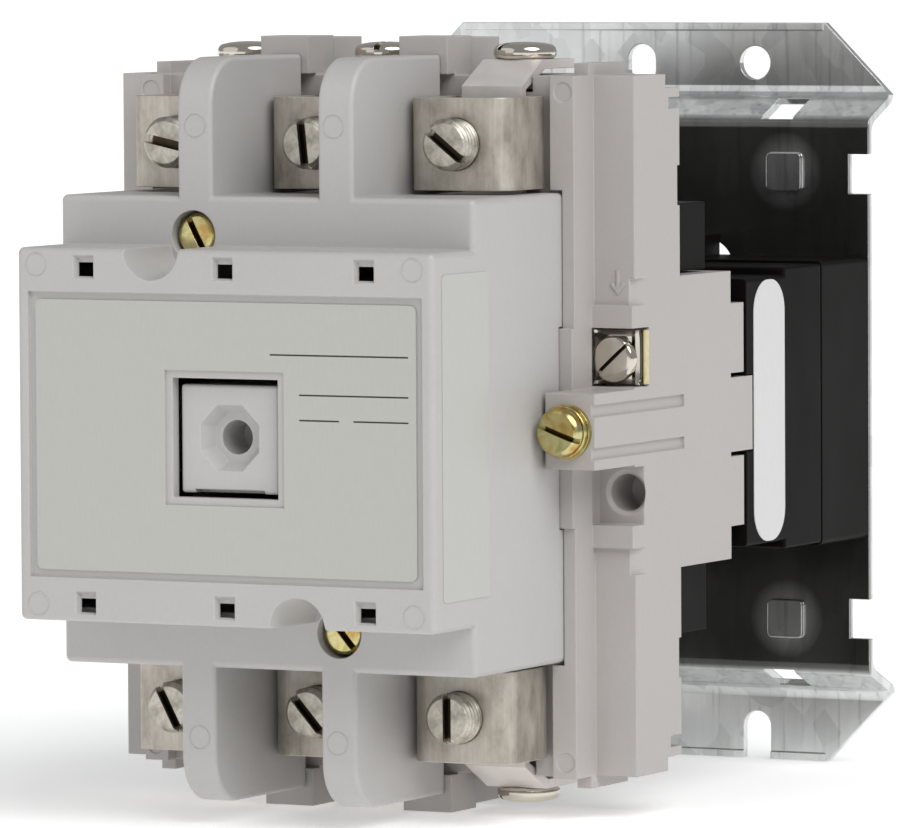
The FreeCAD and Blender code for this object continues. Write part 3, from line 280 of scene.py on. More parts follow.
def add_ring(bm, centre, normal, radius, wire, segments=40, around=8):
    """A raised ring of round section, half sunk in the surface, sizes in millimetres."""
    turn = Vector((0, 0, 1)).rotation_difference(Vector(normal)).to_matrix()
    rows = []
    for i in range(segments):
        a = 2 * math.pi * i / segments
        out = Vector((math.cos(a), math.sin(a), 0))
        row = []
        for j in range(around):
            b = 2 * math.pi * j / around
            offset = out * (radius + wire * math.cos(b)) + Vector((0, 0, wire * math.sin(b)))
            row.append(Vector(centre) + turn @ offset * MM)
        rows.append(row)
    add_grid(bm, rows, closed_rows=True)


def add_strip(bm, start, end, width, rise, normal):
    """A flat strip with half-round ends, standing rise proud of a surface; sizes in millimetres."""
    start, end, up = Vector(start), Vector(end), Vector(normal)
    along = (end - start).normalized()
    across = up.cross(along)
    outline = []
    for centre, turn in ((end, -90), (start, 90)):
        for i in range(7):
            a = math.radians(turn + 30 * i)
            outline.append(centre + (along * math.cos(a) + across * math.sin(a)) * width / 2 * MM)
    add_grid(bm, [[p - up * 0.2 * MM for p in outline], [p + up * rise * MM for p in outline]])
    bm.faces.ensure_lookup_table()
    edges = [e for e in bm.edges if e.is_boundary]
    bmesh.ops.holes_fill(bm, edges=edges, sides=0)


def cut_slot(mesh, width, depth, length, angle):
    """Cuts a screwdriver slot across the face at local Z 0; sizes in millimetres, angle in degrees."""
    tool = mesh_from("slot_tool", lambda bm: bmesh.ops.create_cube(bm, size=1.0))
    size = Matrix.Diagonal((length * MM, width * MM, 2 * depth * MM, 1.0))
    tool.transform(Matrix.Rotation(math.radians(angle), 4, "Z") @ size)
    blank = bpy.data.objects.new("screw_blank", mesh)
    cutter = bpy.data.objects.new("screw_cutter", tool)
    for thing in (blank, cutter):
        bpy.context.scene.collection.objects.link(thing)
    cutting = blank.modifiers.new("slot", "BOOLEAN")
    cutting.operation = "DIFFERENCE"
    cutting.solver = "EXACT"
    cutting.object = cutter
    bpy.context.view_layer.update()
    result = bpy.data.meshes.new_from_object(blank.evaluated_get(bpy.context.evaluated_depsgraph_get()))
    if len(result.polygons) <= len(tool.polygons):
        raise RuntimeError("the screwdriver slot cut nothing")
    bpy.data.objects.remove(blank)
    bpy.data.objects.remove(cutter)
    result.name = mesh.name + "_slotted"
    return result


def face_centre(node, side):
    """The middle of a screw's head face, from its CAD node's box."""
    low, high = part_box(node)
    middle = (low + high) / 2
    if side == "front":
        return Vector((middle.x, low.y, middle.z))
    return Vector((middle.x, middle.y, high.z if side == "top" else low.z))


def screw_piece(node, side, mesh, material):
    """Stands a screw, modelled with its face at local Z 0, in for its CAD node."""
    at = Matrix.Translation(face_centre(node, side)) @ TURN_OUTWARD[side]
    return new_piece(node + "_turned", mesh, material, frame["nodes"][node]["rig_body"], at, (node,))


# ---------------------------------------------------------------- finishes
def moulding_compound(name, colour, roughness=0.42, grain=0.35):
    """Glass-filled polyester moulding compound, compression moulded.

    The eye sees a soft satin sheen, faint cloudy flow marks, a fine orange-peel grain and edges that
    catch the light because the tool's corners are broken; a painted highlight also pales their colour.
    """
    material, shader = new_material(name, IOR=1.56, Roughness=roughness, Specular_IOR_Level=0.42)
    clouds = add_node(material, "ShaderNodeTexNoise",
                      {"Vector": place(material), "Scale": per_mm(38), "Detail": 3.0, "Roughness": 0.55}).outputs[0]
    specks = add_node(material, "ShaderNodeTexNoise",
                      {"Vector": place(material), "Scale": per_mm(1.1), "Detail": 2.0}).outputs[0]
    body = ramp(material, clouds, ((0.30, 0.955), (0.70, 1.0)))
    flecks = ramp(material, specks, ((0.30, 0.975), (0.62, 1.0)))
    tinted = blend_colours(material, 1.0, body, linear(colour), "MULTIPLY")
    speckled = blend_colours(material, 1.0, tinted, flecks, "MULTIPLY")
    rounded = rounded_normal(material, 0.45)
    edges = edge_mask(material, rounded)
    # Painted highlight: the colour on the broken edges is paled towards white.
    painted_edge_highlight = blend_colours(material, 0.35, linear(colour), linear("#FFFFFF"))
    soft = product(material, edges, 0.55)
    grain_height = add_node(material, "ShaderNodeTexNoise",
                            {"Vector": place(material), "Scale": per_mm(grain), "Detail": 2.0}).outputs[0]
    sheen = ramp(material, clouds, ((0.25, roughness - 0.05), (0.75, roughness + 0.06)))
    feed(material, shader, Base_Color=blend_colours(material, soft, speckled, painted_edge_highlight), Roughness=sheen,
         Normal=relief(material, grain_height, 0.006, rounded))
    return material


def black_moulding(name, colour, roughness):
    """Black epoxy or phenolic moulding, satin from the tool.

    The eye sees a near-black body with grey, broken highlights on its edges and a light dusty cloud.
    """
    material, shader = new_material(name, IOR=1.58, Roughness=roughness, Specular_IOR_Level=0.03)
    clouds = add_node(material, "ShaderNodeTexNoise",
                      {"Vector": place(material, (1, 1, 0.5)), "Scale": per_mm(14), "Detail": 4.0}).outputs[0]
    fine = add_node(material, "ShaderNodeTexNoise",
                    {"Vector": place(material), "Scale": per_mm(0.5), "Detail": 2.0}).outputs[0]
    rounded = rounded_normal(material, 0.4)
    dust = ramp(material, clouds, ((0.35, colour), (0.80, "#161413")))
    # Painted highlight: the edges are lightened towards grey.
    painted_highlight_weight = product(material, edge_mask(material, rounded), 0.22)
    feed(material, shader, Base_Color=blend_colours(material, painted_highlight_weight, dust, linear("#3B3836")),
         Roughness=ramp(material, clouds, ((0.25, roughness - 0.07), (0.8, roughness + 0.10))),
         Normal=relief(material, fine, 0.008, rounded))
    return material


def painted_web_reflection(material):
    """Painted dark reflection on the front of the plate's web: nearly 1, less round the pressed pads, whose paler
    halos are painted highlight, 0 elsewhere.
    """
    height = add_node(material, "ShaderNodeSeparateXYZ", {0: place(material)}).outputs["Y"]
    on_web = fade(material, height, -12.4, -13.6, To_Max=0.88)
    quarter = add_node(material, "ShaderNodeVectorMath", {0: place(material, (1, 0, 1))},
                       operation="ABSOLUTE").outputs[0]
    pad = (41.3 * MM, 0.0, 50.0 * MM)
    off_pad = add_node(material, "ShaderNodeVectorMath", {0: quarter, 1: pad}, operation="DISTANCE").outputs["Value"]
    return product(material, on_web, fade(material, off_pad, 4.6, 9.0, To_Min=0.35))


def galvanised_steel(name, colour):
    """Continuously galvanised sheet steel, sheared and folded.

    The eye sees small grey spangle cells of differing brightness, faint vertical streaks from the strip
    line, a cloudy reflection, a painted dark reflection on the web with painted highlight halos round its
    pads, and painted highlights on its bright sheared edges.
    """
    material, shader = new_material(name, Metallic=0.86)
    cells = add_node(material, "ShaderNodeTexVoronoi",
                     {"Vector": place(material, (1, 1, 0.62)), "Scale": per_mm(4.5),
                      "Randomness": 1.0}).outputs["Color"]
    streaks = add_node(material, "ShaderNodeTexNoise",
                       {"Vector": place(material, (1, 1, 0.045)), "Scale": per_mm(1.6), "Detail": 4.0}).outputs[0]
    clouds = add_node(material, "ShaderNodeTexNoise",
                      {"Vector": place(material, (1, 1, 0.4)), "Scale": per_mm(16), "Detail": 3.0}).outputs[0]
    cell_tone = ramp(material, add_node(material, "ShaderNodeSeparateColor", {0: cells}).outputs[0],
                     ((0.0, 0.80), (1.0, 1.0)))
    streak_tone = ramp(material, streaks, ((0.30, 0.72), (0.42, 0.96), (0.66, 1.0)))
    cloud_tone = ramp(material, clouds, ((0.30, 0.86), (0.72, 1.0)))
    toned = blend_colours(material, 1.0, cell_tone, streak_tone, "MULTIPLY")
    toned = blend_colours(material, 1.0, toned, cloud_tone, "MULTIPLY")
    zinc = blend_colours(material, 1.0, toned, linear(colour), "MULTIPLY")
    # Painted dark reflection over the web, left lighter round the pads as painted highlight halos.
    zinc = blend_colours(material, painted_web_reflection(material), zinc, linear("#34342F"))
    rounded = rounded_normal(material, 0.3)
    # Painted highlight: the edges are blended towards a pale zinc colour.
    feed(material, shader, Base_Color=blend_colours(material, edge_mask(material, rounded), zinc, linear("#E6E6E4")),
         Roughness=ramp(material, clouds, ((0.25, 0.12), (0.8, 0.24))),
         Normal=relief(material, streaks, 0.010, rounded))
    return material


def bright_plate(name, colour, roughness, scratch=0.6, depth=0.0015, slot=0.0, metallic=1.0):
    """Bright nickel or tin plate over turned brass or steel, with painted shade down in the screwdriver slot if it
    has one.

    The eye sees sharp dark and light bands, softened by hairline marks from the tool and from handling.
    """
    material, shader = new_material(name, Metallic=metallic)
    marks = add_node(material, "ShaderNodeTexNoise",
                     {"Vector": place(material, (1, 0.12, 1)), "Scale": per_mm(scratch), "Detail": 5.0}).outputs[0]
    haze = add_node(material, "ShaderNodeTexNoise",
                    {"Vector": place(material), "Scale": per_mm(5.0), "Detail": 3.0}).outputs[0]
    tone = ramp(material, haze, ((0.3, 0.90), (0.7, 1.0)))
    plate = blend_colours(material, 1.0, tone, linear(colour), "MULTIPLY")
    if slot:
        # Painted shade: the colour darkens down in the screwdriver slot.
        plate = blend_colours(material, slot_mask(material, slot), plate, linear("#3B3128"))
    feed(material, shader, Base_Color=plate,
         Roughness=ramp(material, haze, ((0.25, roughness * 0.8), (0.8, roughness * 1.5))),
         Normal=relief(material, marks, depth, rounded_normal(material, 0.25)))
    return material


def tinned_aluminium(name, colour):
    """Tin-plated aluminium lug, cut from extruded bar.

    The eye sees a dull warm grey with fine lines along the bar, darker stains and nicks, and a painted
    highlight that brightens the metal along the corners.
    """
    material, shader = new_material(name, Metallic=0.74)
    lines = add_node(material, "ShaderNodeTexNoise",
                     {"Vector": place(material, (1, 1, 0.06)), "Scale": per_mm(0.7), "Detail": 4.0}).outputs[0]
    stains = add_node(material, "ShaderNodeTexNoise",
                      {"Vector": place(material, (1, 1, 0.6)), "Scale": per_mm(5.5), "Detail": 5.0,
                       "Roughness": 0.62}).outputs[0]
    stained = ramp(material, stains, ((0.28, "#9C948A"), (0.50, colour), (0.78, "#D6D1C8")))
    lined = blend_colours(material, 1.0, stained, ramp(material, lines, ((0.3, 0.88), (0.65, 1.0))), "MULTIPLY")
    rounded = rounded_normal(material, 0.4)
    # Painted highlight: the corners are blended towards a near-white metal.
    painted_highlight_weight = product(material, edge_mask(material, rounded), 0.7)
    feed(material, shader, Base_Color=blend_colours(material, painted_highlight_weight, lined, linear("#EEECE7")),
         Roughness=ramp(material, stains, ((0.25, 0.36), (0.75, 0.50))),
         Normal=relief(material, lines, 0.012, rounded))
    return material


def dull_zinc(name, colour):
    """Clear zinc plate on a cut-thread screw.

    The eye sees a matt, slightly pitted face with turning rings, patches of darker grime and painted shade down in
    the driver slot.
    """
    material, shader = new_material(name, Metallic=1.0)
    rings = add_node(material, "ShaderNodeTexWave",
                     {"Vector": place(material), "Scale": per_mm(4.4), "Distortion": 1.5, "Detail": 2.0},
                     wave_type="RINGS", rings_direction="Z").outputs[1]
    pits = add_node(material, "ShaderNodeTexNoise",
                    {"Vector": place(material), "Scale": per_mm(0.9), "Detail": 5.0, "Roughness": 0.7}).outputs[0]
    grime = add_node(material, "ShaderNodeTexNoise",
                     {"Vector": place(material), "Scale": per_mm(4.0), "Detail": 3.0}).outputs[0]
    tone = ramp(material, grime, ((0.28, "#938D80"), (0.55, colour), (0.8, "#D8D4C8")))
    heights = blend_colours(material, 0.6, rings, pits)
    pitted = blend_colours(material, 1.0, tone, ramp(material, pits, ((0.3, 0.72), (0.6, 1.0))), "MULTIPLY")
    # Painted shade: the colour darkens down in the driver slot.
    feed(material, shader, Base_Color=blend_colours(material, slot_mask(material, 4.4), pitted, linear("#4A4034")),
         Roughness=ramp(material, pits, ((0.3, 0.34), (0.7, 0.52))),
         Normal=relief(material, heights, 0.03, rounded_normal(material, 0.2)))
    return material


def yellow_chromate(name, colour):
    """Zinc plate with a yellow chromate dip.

    The eye sees gold that drifts to olive and rose as the film's thickness changes, with mirror spots.
    """
    material, shader = new_material(name, Metallic=1.0)
    film = add_node(material, "ShaderNodeTexNoise",
                    {"Vector": place(material), "Scale": per_mm(4.5), "Detail": 2.0, "Distortion": 0.6}).outputs[0]
    marks = add_node(material, "ShaderNodeTexNoise",
                     {"Vector": place(material), "Scale": per_mm(0.8), "Detail": 4.0}).outputs[0]
    hues = ramp(material, film, ((0.30, "#B58C55"), (0.43, colour), (0.56, "#CBC694"), (0.70, "#AFA765")))
    # Painted shade: the colour darkens down in the screwdriver slot.
    slotted = blend_colours(material, slot_mask(material, 3.6), hues, linear("#4B3A17"))
    feed(material, shader, Base_Color=slotted, Roughness=ramp(material, marks, ((0.3, 0.13), (0.7, 0.26))),
         Normal=relief(material, marks, 0.003, rounded_normal(material, 0.25)))
    return material


def printed_foil(name, colour, roughness):
    """Printed and laminated label stock.

    The eye sees an even satin sheet with a very slight ripple where the adhesive has taken up unevenly.
    """
    material, shader = new_material(name, Roughness=roughness, IOR=1.49, Coat_Weight=0.35, Coat_Roughness=0.18)
    ripple = add_node(material, "ShaderNodeTexNoise",
                      {"Vector": place(material), "Scale": per_mm(11), "Detail": 1.0}).outputs[0]
    fibres = add_node(material, "ShaderNodeTexNoise",
                      {"Vector": place(material, (1, 1, 0.2)), "Scale": per_mm(0.6), "Detail": 3.0}).outputs[0]
    tone = ramp(material, fibres, ((0.3, 0.965), (0.7, 1.0)))
    feed(material, shader, Base_Color=blend_colours(material, 1.0, tone, linear(colour), "MULTIPLY"),
         Normal=relief(material, ripple, 0.02))
    return material


def laminations(name, colour, pitch=0.5):
    """Stacked silicon-steel stampings, ground flat at the pole faces and varnished.

    The eye sees a stripe for each sheet across the stack, with a blue-grey oxide cast.
    """
    material, shader = new_material(name, Metallic=1.0)
    stripes = add_node(material, "ShaderNodeTexWave",
                       {"Vector": place(material), "Scale": per_mm(pitch * 20), "Distortion": 0.3},
                       wave_type="BANDS", bands_direction="Z").outputs[1]
    oxide = add_node(material, "ShaderNodeTexNoise",
                     {"Vector": place(material), "Scale": per_mm(7), "Detail": 3.0}).outputs[0]
    sheets = ramp(material, stripes, ((0.15, 0.45), (0.5, 1.0)))
    cast = ramp(material, oxide, ((0.3, "#6F7478"), (0.7, colour)))
    feed(material, shader, Base_Color=blend_colours(material, 1.0, cast, sheets, "MULTIPLY"),
         Roughness=ramp(material, oxide, ((0.3, 0.32), (0.7, 0.48))),
         Normal=relief(material, stripes, 0.03, rounded_normal(material, 0.3)))
    return material


def copper_metal(name, colour, dark, roughness, wire=0.0):
    """Copper, either rolled bar or enamelled winding wire where wire is its diameter in millimetres.

    The eye sees a warm metal with brown tarnish, and on a winding the rows of round wires.
    """
    material, shader = new_material(name, Metallic=1.0)
    tarnish = add_node(material, "ShaderNodeTexNoise",
                       {"Vector": place(material), "Scale": per_mm(3.5), "Detail": 4.0}).outputs[0]
    height = tarnish
    if wire:
        height = add_node(material, "ShaderNodeTexWave",
                          {"Vector": place(material), "Scale": per_mm(wire * 20), "Distortion": 0.4},
                          wave_type="BANDS", bands_direction="Y").outputs[1]
    feed(material, shader, Base_Color=ramp(material, tarnish, ((0.3, dark), (0.65, colour))),
         Roughness=ramp(material, tarnish, ((0.3, roughness + 0.12), (0.7, roughness))),
         Normal=relief(material, height, 0.12 if wire else 0.004, rounded_normal(material, 0.25)))
    return material


def drawn_wire(name, colour):
    """Drawn spring wire, lightly oiled.

    The eye sees a dark, smooth metal with lines drawn out along it and a thin bright highlight.
    """
    material, shader = new_material(name, Metallic=1.0)
    lines = add_node(material, "ShaderNodeTexNoise",
                     {"Vector": place(material, (1, 1, 0.3)), "Scale": per_mm(0.4), "Detail": 3.0}).outputs[0]
    tone = ramp(material, lines, ((0.3, 0.75), (0.7, 1.0)))
    feed(material, shader, Base_Color=blend_colours(material, 1.0, tone, linear(colour), "MULTIPLY"),
         Roughness=ramp(material, lines, ((0.3, 0.22), (0.7, 0.32))), Normal=relief(material, lines, 0.004))
    return material


def soft_sheet(name, colour, roughness, grain, depth):
    """A matt non-metal: rubber, vulcanised fibre or printing ink.

    The eye sees no highlight to speak of, and a fine uneven grain.
    """
    material, shader = new_material(name, IOR=1.5, Roughness=roughness)
    grains = add_node(material, "ShaderNodeTexNoise",
                      {"Vector": place(material), "Scale": per_mm(grain), "Detail": 4.0}).outputs[0]
    tone = ramp(material, grains, ((0.3, 0.82), (0.7, 1.0)))
    feed(material, shader, Base_Color=blend_colours(material, 1.0, tone, linear(colour), "MULTIPLY"),
         Normal=relief(material, grains, depth, rounded_normal(material, 0.2)))
    return material


def studio_paper(name, colour):
    """Matt white background paper, lit from behind.

    The eye sees an even white ground with weak shadows and no more than a trace of fibre.
    """
    material, shader = new_material(name, Roughness=0.9, Specular_IOR_Level=0.1,
                                    Emission_Color=linear("#FFFFFF"), Emission_Strength=0.38)
    fibres = add_node(material, "ShaderNodeTexNoise",
                      {"Vector": place(material), "Scale": per_mm(3.0), "Detail": 2.0}).outputs[0]
    tone = ramp(material, fibres, ((0.3, 0.99), (0.7, 1.0)))
    feed(material, shader, Base_Color=blend_colours(material, 1.0, tone, linear(colour), "MULTIPLY"))
    return material


# ---------------------------------------------------------------- settings
class STARTER_PG_stage(bpy.types.PropertyGroup):
    """Camera, floor and light."""
    camera_azimuth: bpy.props.FloatProperty(
        name="Camera azimuth", description="Turn of the camera to the right of the starter's front",
        default=math.radians(27.39), subtype="ANGLE")
    camera_elevation: bpy.props.FloatProperty(
        name="Camera elevation", description="Height of the camera above the level",
        default=math.radians(3.42), subtype="ANGLE")
    camera_roll: bpy.props.FloatProperty(
        name="Camera roll", description="Turn of the camera about its own line of sight",
        default=math.radians(-0.32), subtype="ANGLE")
    camera_distance: bpy.props.FloatProperty(
        name="Camera distance", description="From the camera to the middle of the starter",
        default=1.8568, unit="LENGTH")
    aim_aside: bpy.props.FloatVectorProperty(
        name="Aim aside", description="How far the camera aims from the middle of the starter",
        default=(0.0026, 0.0, -0.0003), subtype="TRANSLATION", unit="LENGTH")
    lens: bpy.props.FloatProperty(name="Lens", description="Focal length in millimetres", default=338.3)
    floor_radius: bpy.props.FloatProperty(
        name="Floor radius", description="Radius of the paper floor", default=30.0, unit="LENGTH")
    floor_colour: bpy.props.StringProperty(name="Floor colour", description="Colour of the paper", default="#FBFBFA")
    room_level: bpy.props.FloatProperty(
        name="Room light", description="Brightness of the white room round the starter", default=0.35)
    key_level: bpy.props.FloatProperty(
        name="Key light", description="Brightness of the large light above and to the right", default=1.9)


class STARTER_PG_finishes(bpy.types.PropertyGroup):
    """Colours that a user may want to change, as sRGB hex."""
    cover: bpy.props.StringProperty(name="Arc box", description="Colour of the arc box", default="#BAB8B6")
    base: bpy.props.StringProperty(name="Base", description="Colour of the upper base", default="#B5B0AD")
    plunger: bpy.props.StringProperty(name="Plunger", description="Colour of the crossbar", default="#BDBBB9")
    nameplate: bpy.props.StringProperty(name="Nameplate", description="Colour of the plate", default="#B6B6AF")
    lug: bpy.props.StringProperty(name="Lugs", description="Colour of the box lugs", default="#BFB8AD")
    steel: bpy.props.StringProperty(name="Mounting plate", description="Colour of the zinc", default="#EAECEB")
    chromate: bpy.props.StringProperty(name="Yellow screws", description="Colour of the chromate", default="#C4AE6C")
    black: bpy.props.StringProperty(name="Coil", description="Colour of the coil case", default="#110F0F")


class STARTER_PG_screws(bpy.types.PropertyGroup):
    """Sizes of the turned screws, in millimetres."""
    thread_pitch: bpy.props.FloatProperty(name="Thread pitch", description="Set screw thread", default=1.27)
    thread_depth: bpy.props.FloatProperty(name="Thread depth", description="Set screw thread", default=0.62)
    set_slot: bpy.props.FloatProperty(name="Set screw slot", description="Width of the slot", default=1.9)
    head_slot: bpy.props.FloatProperty(name="Head slot", description="Width of the slot", default=1.4)
    side_slot: bpy.props.FloatProperty(name="Side screw slot", description="Width of the slot", default=1.1)
    coil_slot: bpy.props.FloatProperty(name="Coil screw slot", description="Width of the slot", default=0.8)


# ---------------------------------------------------------------- operators
class STARTER_OT_stage(bpy.types.Operator):
    """Sets the paper floor, the soft lights and the camera"""
    bl_idname = "starter.stage"
    bl_label = "Stage"

    def execute(self, context):
        settings = context.scene.starter_stage
        scene = context.scene
        middle = (CAD_LOW + CAD_HIGH) / 2

        floor = bpy.data.objects.new("paper_floor", mesh_from("paper_floor", lambda bm: bmesh.ops.create_circle(
            bm, cap_ends=True, segments=96, radius=settings.floor_radius)))
        floor.location = (0, 0, CAD_LOW.z - 0.2 * MM)
        paper = studio_paper("matt_white_paper", settings.floor_colour)
        floor.data.materials.append(paper)
        scene.collection.objects.link(floor)

        world = bpy.data.worlds.new("white_room")
        world.use_nodes = True
        world.node_tree.nodes["Background"].inputs["Color"].default_value = linear("#F6F8FA")
        world.node_tree.nodes["Background"].inputs["Strength"].default_value = settings.room_level
        scene.world = world

        lights = (("key_softbox", (0.62, -0.38, 0.71), settings.key_level, 46),
                  ("left_fill", (-0.75, -0.60, 0.25), settings.key_level * 0.28, 70))
        for name, towards, level, spread in lights:
            data = bpy.data.lights.new(name, "SUN")
            data.energy = level
            data.angle = math.radians(spread)
            light = bpy.data.objects.new(name, data)
            light.rotation_mode = "QUATERNION"
            light.rotation_quaternion = Vector(towards).to_track_quat("Z", "Y")
            scene.collection.objects.link(light)

        azimuth, elevation, roll = settings.camera_azimuth, settings.camera_elevation, settings.camera_roll
        back = Vector((math.sin(azimuth) * math.cos(elevation), -math.cos(azimuth) * math.cos(elevation),
                       math.sin(elevation)))
        level = Vector((math.cos(azimuth), math.sin(azimuth), 0))
        upward = back.cross(level)
        right = level * math.cos(roll) + upward * math.sin(roll)
        up = upward * math.cos(roll) - level * math.sin(roll)
        camera = bpy.data.objects.new("camera", bpy.data.cameras.new("camera"))
        camera.data.lens = settings.lens
        camera.data.clip_end = 100.0
        turn = Matrix((right, up, back)).transposed().to_4x4()
        spot = middle + Vector(settings.aim_aside) + back * settings.camera_distance
        camera.matrix_world = Matrix.Translation(spot) @ turn
        scene.collection.objects.link(camera)
        scene.camera = camera
        scene.view_settings.view_transform = "Standard"
        return {"FINISHED"}


class STARTER_OT_mounting_plate(bpy.types.Operator):
    """Gives the folded plate its galvanised finish"""
    bl_idname = "starter.mounting_plate"
    bl_label = "Mounting plate"

    def execute(self, context):
        finish_node(galvanised_steel("galvanised_sheet_steel", context.scene.starter_finishes.steel),
                    "galvanised_steel", "mounting_plate")
        return {"FINISHED"}


class STARTER_OT_arc_box(bpy.types.Operator):
    """Finishes the arc box and adds the rings that its ejector pins left"""
    bl_idname = "starter.arc_box"
    bl_label = "Arc box"

    def execute(self, context):
        plastic = moulding_compound("light_grey_polyester_moulding", context.scene.starter_finishes.cover)
        finish_node(plastic, "cover_plastic", "arc_box")
        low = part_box("arc_box")[0]
        corner_x, corner_z, barrier_x, barrier_z, riser_depth = (v * MM for v in (44.3, 35.5, 16.4, 64.2, 18.5))
        forward, pin_radius, ridge = (0, -1, 0), 2.4, 0.13

        def rings(bm):
            for side in (-1, 1):
                for end in (-1, 1):
                    add_ring(bm, (side * corner_x, low.y, end * corner_z), forward, pin_radius, ridge)
                    add_ring(bm, (side * barrier_x, low.y + riser_depth, end * barrier_z), forward, pin_radius, ridge)
        new_piece("arc_box_pin_rings", mesh_from("arc_box_pin_rings", rings), plastic, "root")
        return {"FINISHED"}


class STARTER_OT_labels(bpy.types.Operator):
    """Finishes the nameplate with its ruled lines, and the blank labels"""
    bl_idname = "starter.labels"
    bl_label = "Nameplate and labels"

    def execute(self, context):
        finishes = context.scene.starter_finishes
        finish_node(printed_foil("satin_printed_foil", finishes.nameplate, 0.42), "nameplate_foil", "nameplate")
        finish_node(printed_foil("clear_film_label", "#B6B6B1", 0.34), "side_label_film", "side_label")
        finish_node(printed_foil("white_laminated_label", "#CFCFCE", 0.34), "coil_label_film", "coil_label")
        ink = soft_sheet("black_screen_ink", "#24211F", 0.55, 0.8, 0.002)
        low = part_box("nameplate")[0]
        forward = Vector((0, -1, 0))
        rules = ((11.0, 42.9, 17.6), (17.8, 42.9, 9.4), (17.8, 26.8, 4.2), (30.4, 42.9, 4.2))
        line_width, ink_height = 0.32, 0.015

        def lines(bm):
            for left, right, height in rules:
                start, end = ((x * MM, low.y, height * MM) for x in (left, right))
                add_strip(bm, start, end, line_width, ink_height, forward)
        new_piece("nameplate_rules", mesh_from("nameplate_rules", lines), ink, "root")
        return {"FINISHED"}


class STARTER_OT_crossbar(bpy.types.Operator):
    """Finishes the crossbar, whose plunger shows in the window"""
    bl_idname = "starter.crossbar"
    bl_label = "Crossbar"

    def execute(self, context):
        plastic = moulding_compound("plunger_polyester_moulding", context.scene.starter_finishes.plunger, 0.38)
        finish_node(plastic, "plunger_plastic", "crossbar")
        return {"FINISHED"}


class STARTER_OT_terminals(bpy.types.Operator):
    """Finishes the box lugs and the terminal straps"""
    bl_idname = "starter.terminals"
    bl_label = "Lugs and straps"

    def execute(self, context):
        lug = tinned_aluminium("tinned_aluminium_lug", context.scene.starter_finishes.lug)
        strap = bright_plate("tinned_copper_strap", "#E4DEDA", 0.36, 0.5, 0.006, metallic=0.42)
        for end in ENDS:
            for pole in POLES:
                finish_node(lug, "tinned_aluminium", "%s_lug_%s" % (end, pole))
                finish_node(strap, "tinned_copper", "%s_strap_%s" % (end, pole))
        return {"FINISHED"}


class STARTER_OT_set_screws(bpy.types.Operator):
    """Models the six set screws with real threads and driver slots"""
    bl_idname = "starter.set_screws"
    bl_label = "Set screws"

    def execute(self, context):
        screws = context.scene.starter_screws
        zinc = dull_zinc("dull_zinc_set_screw", "#CCC7BB")
        low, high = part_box("line_set_screw_left")
        crest, length = (high.x - low.x) / 2 / MM, (high.y - low.y) / MM
        root = crest - screws.thread_depth
        face_radius, chamfer_end, first_depth, rows_per_turn, segments = 4.55, 1.0, 0.35, 10, 60
        rim_radius, slot_depth, slot_length, ridge_slope = face_radius * 0.985, 2.6, 14.0, 1.25
        slot_angles = {"line": (12, 84, 38), "load": (62, 48, 90)}

        def stud(bm):
            step = screws.thread_pitch / rows_per_turn
            rows = []
            for i in range(int((length - 0.4) / step) + 1):
                depth = first_depth + i * step
                chamfer = face_radius + (crest - face_radius) * min(1.0, depth / chamfer_end)
                row = []
                for j in range(segments):
                    a = 2 * math.pi * j / segments
                    turn = (depth / screws.thread_pitch + j / segments) % 1.0
                    ridge = min(1.0, ridge_slope * abs(2 * turn - 1))
                    r = min(root + (crest - root) * ridge, chamfer)
                    row.append((r * math.cos(a) * MM, r * math.sin(a) * MM, -depth * MM))
                rows.append(row)
            rim = [(rim_radius * math.cos(2 * math.pi * j / segments) * MM,
                    rim_radius * math.sin(2 * math.pi * j / segments) * MM, 0) for j in range(segments)]
            add_capped_grid(bm, [rim] + rows)
        for end in ENDS:
            for pole, angle in zip(POLES, slot_angles[end]):
                node = "%s_set_screw_%s" % (end, pole)
                blank = mesh_from(node + "_blank", stud)
                slotted = cut_slot(blank, screws.set_slot, slot_depth, slot_length, -angle)
                screw_piece(node, "front", slotted, zinc)
        return {"FINISHED"}


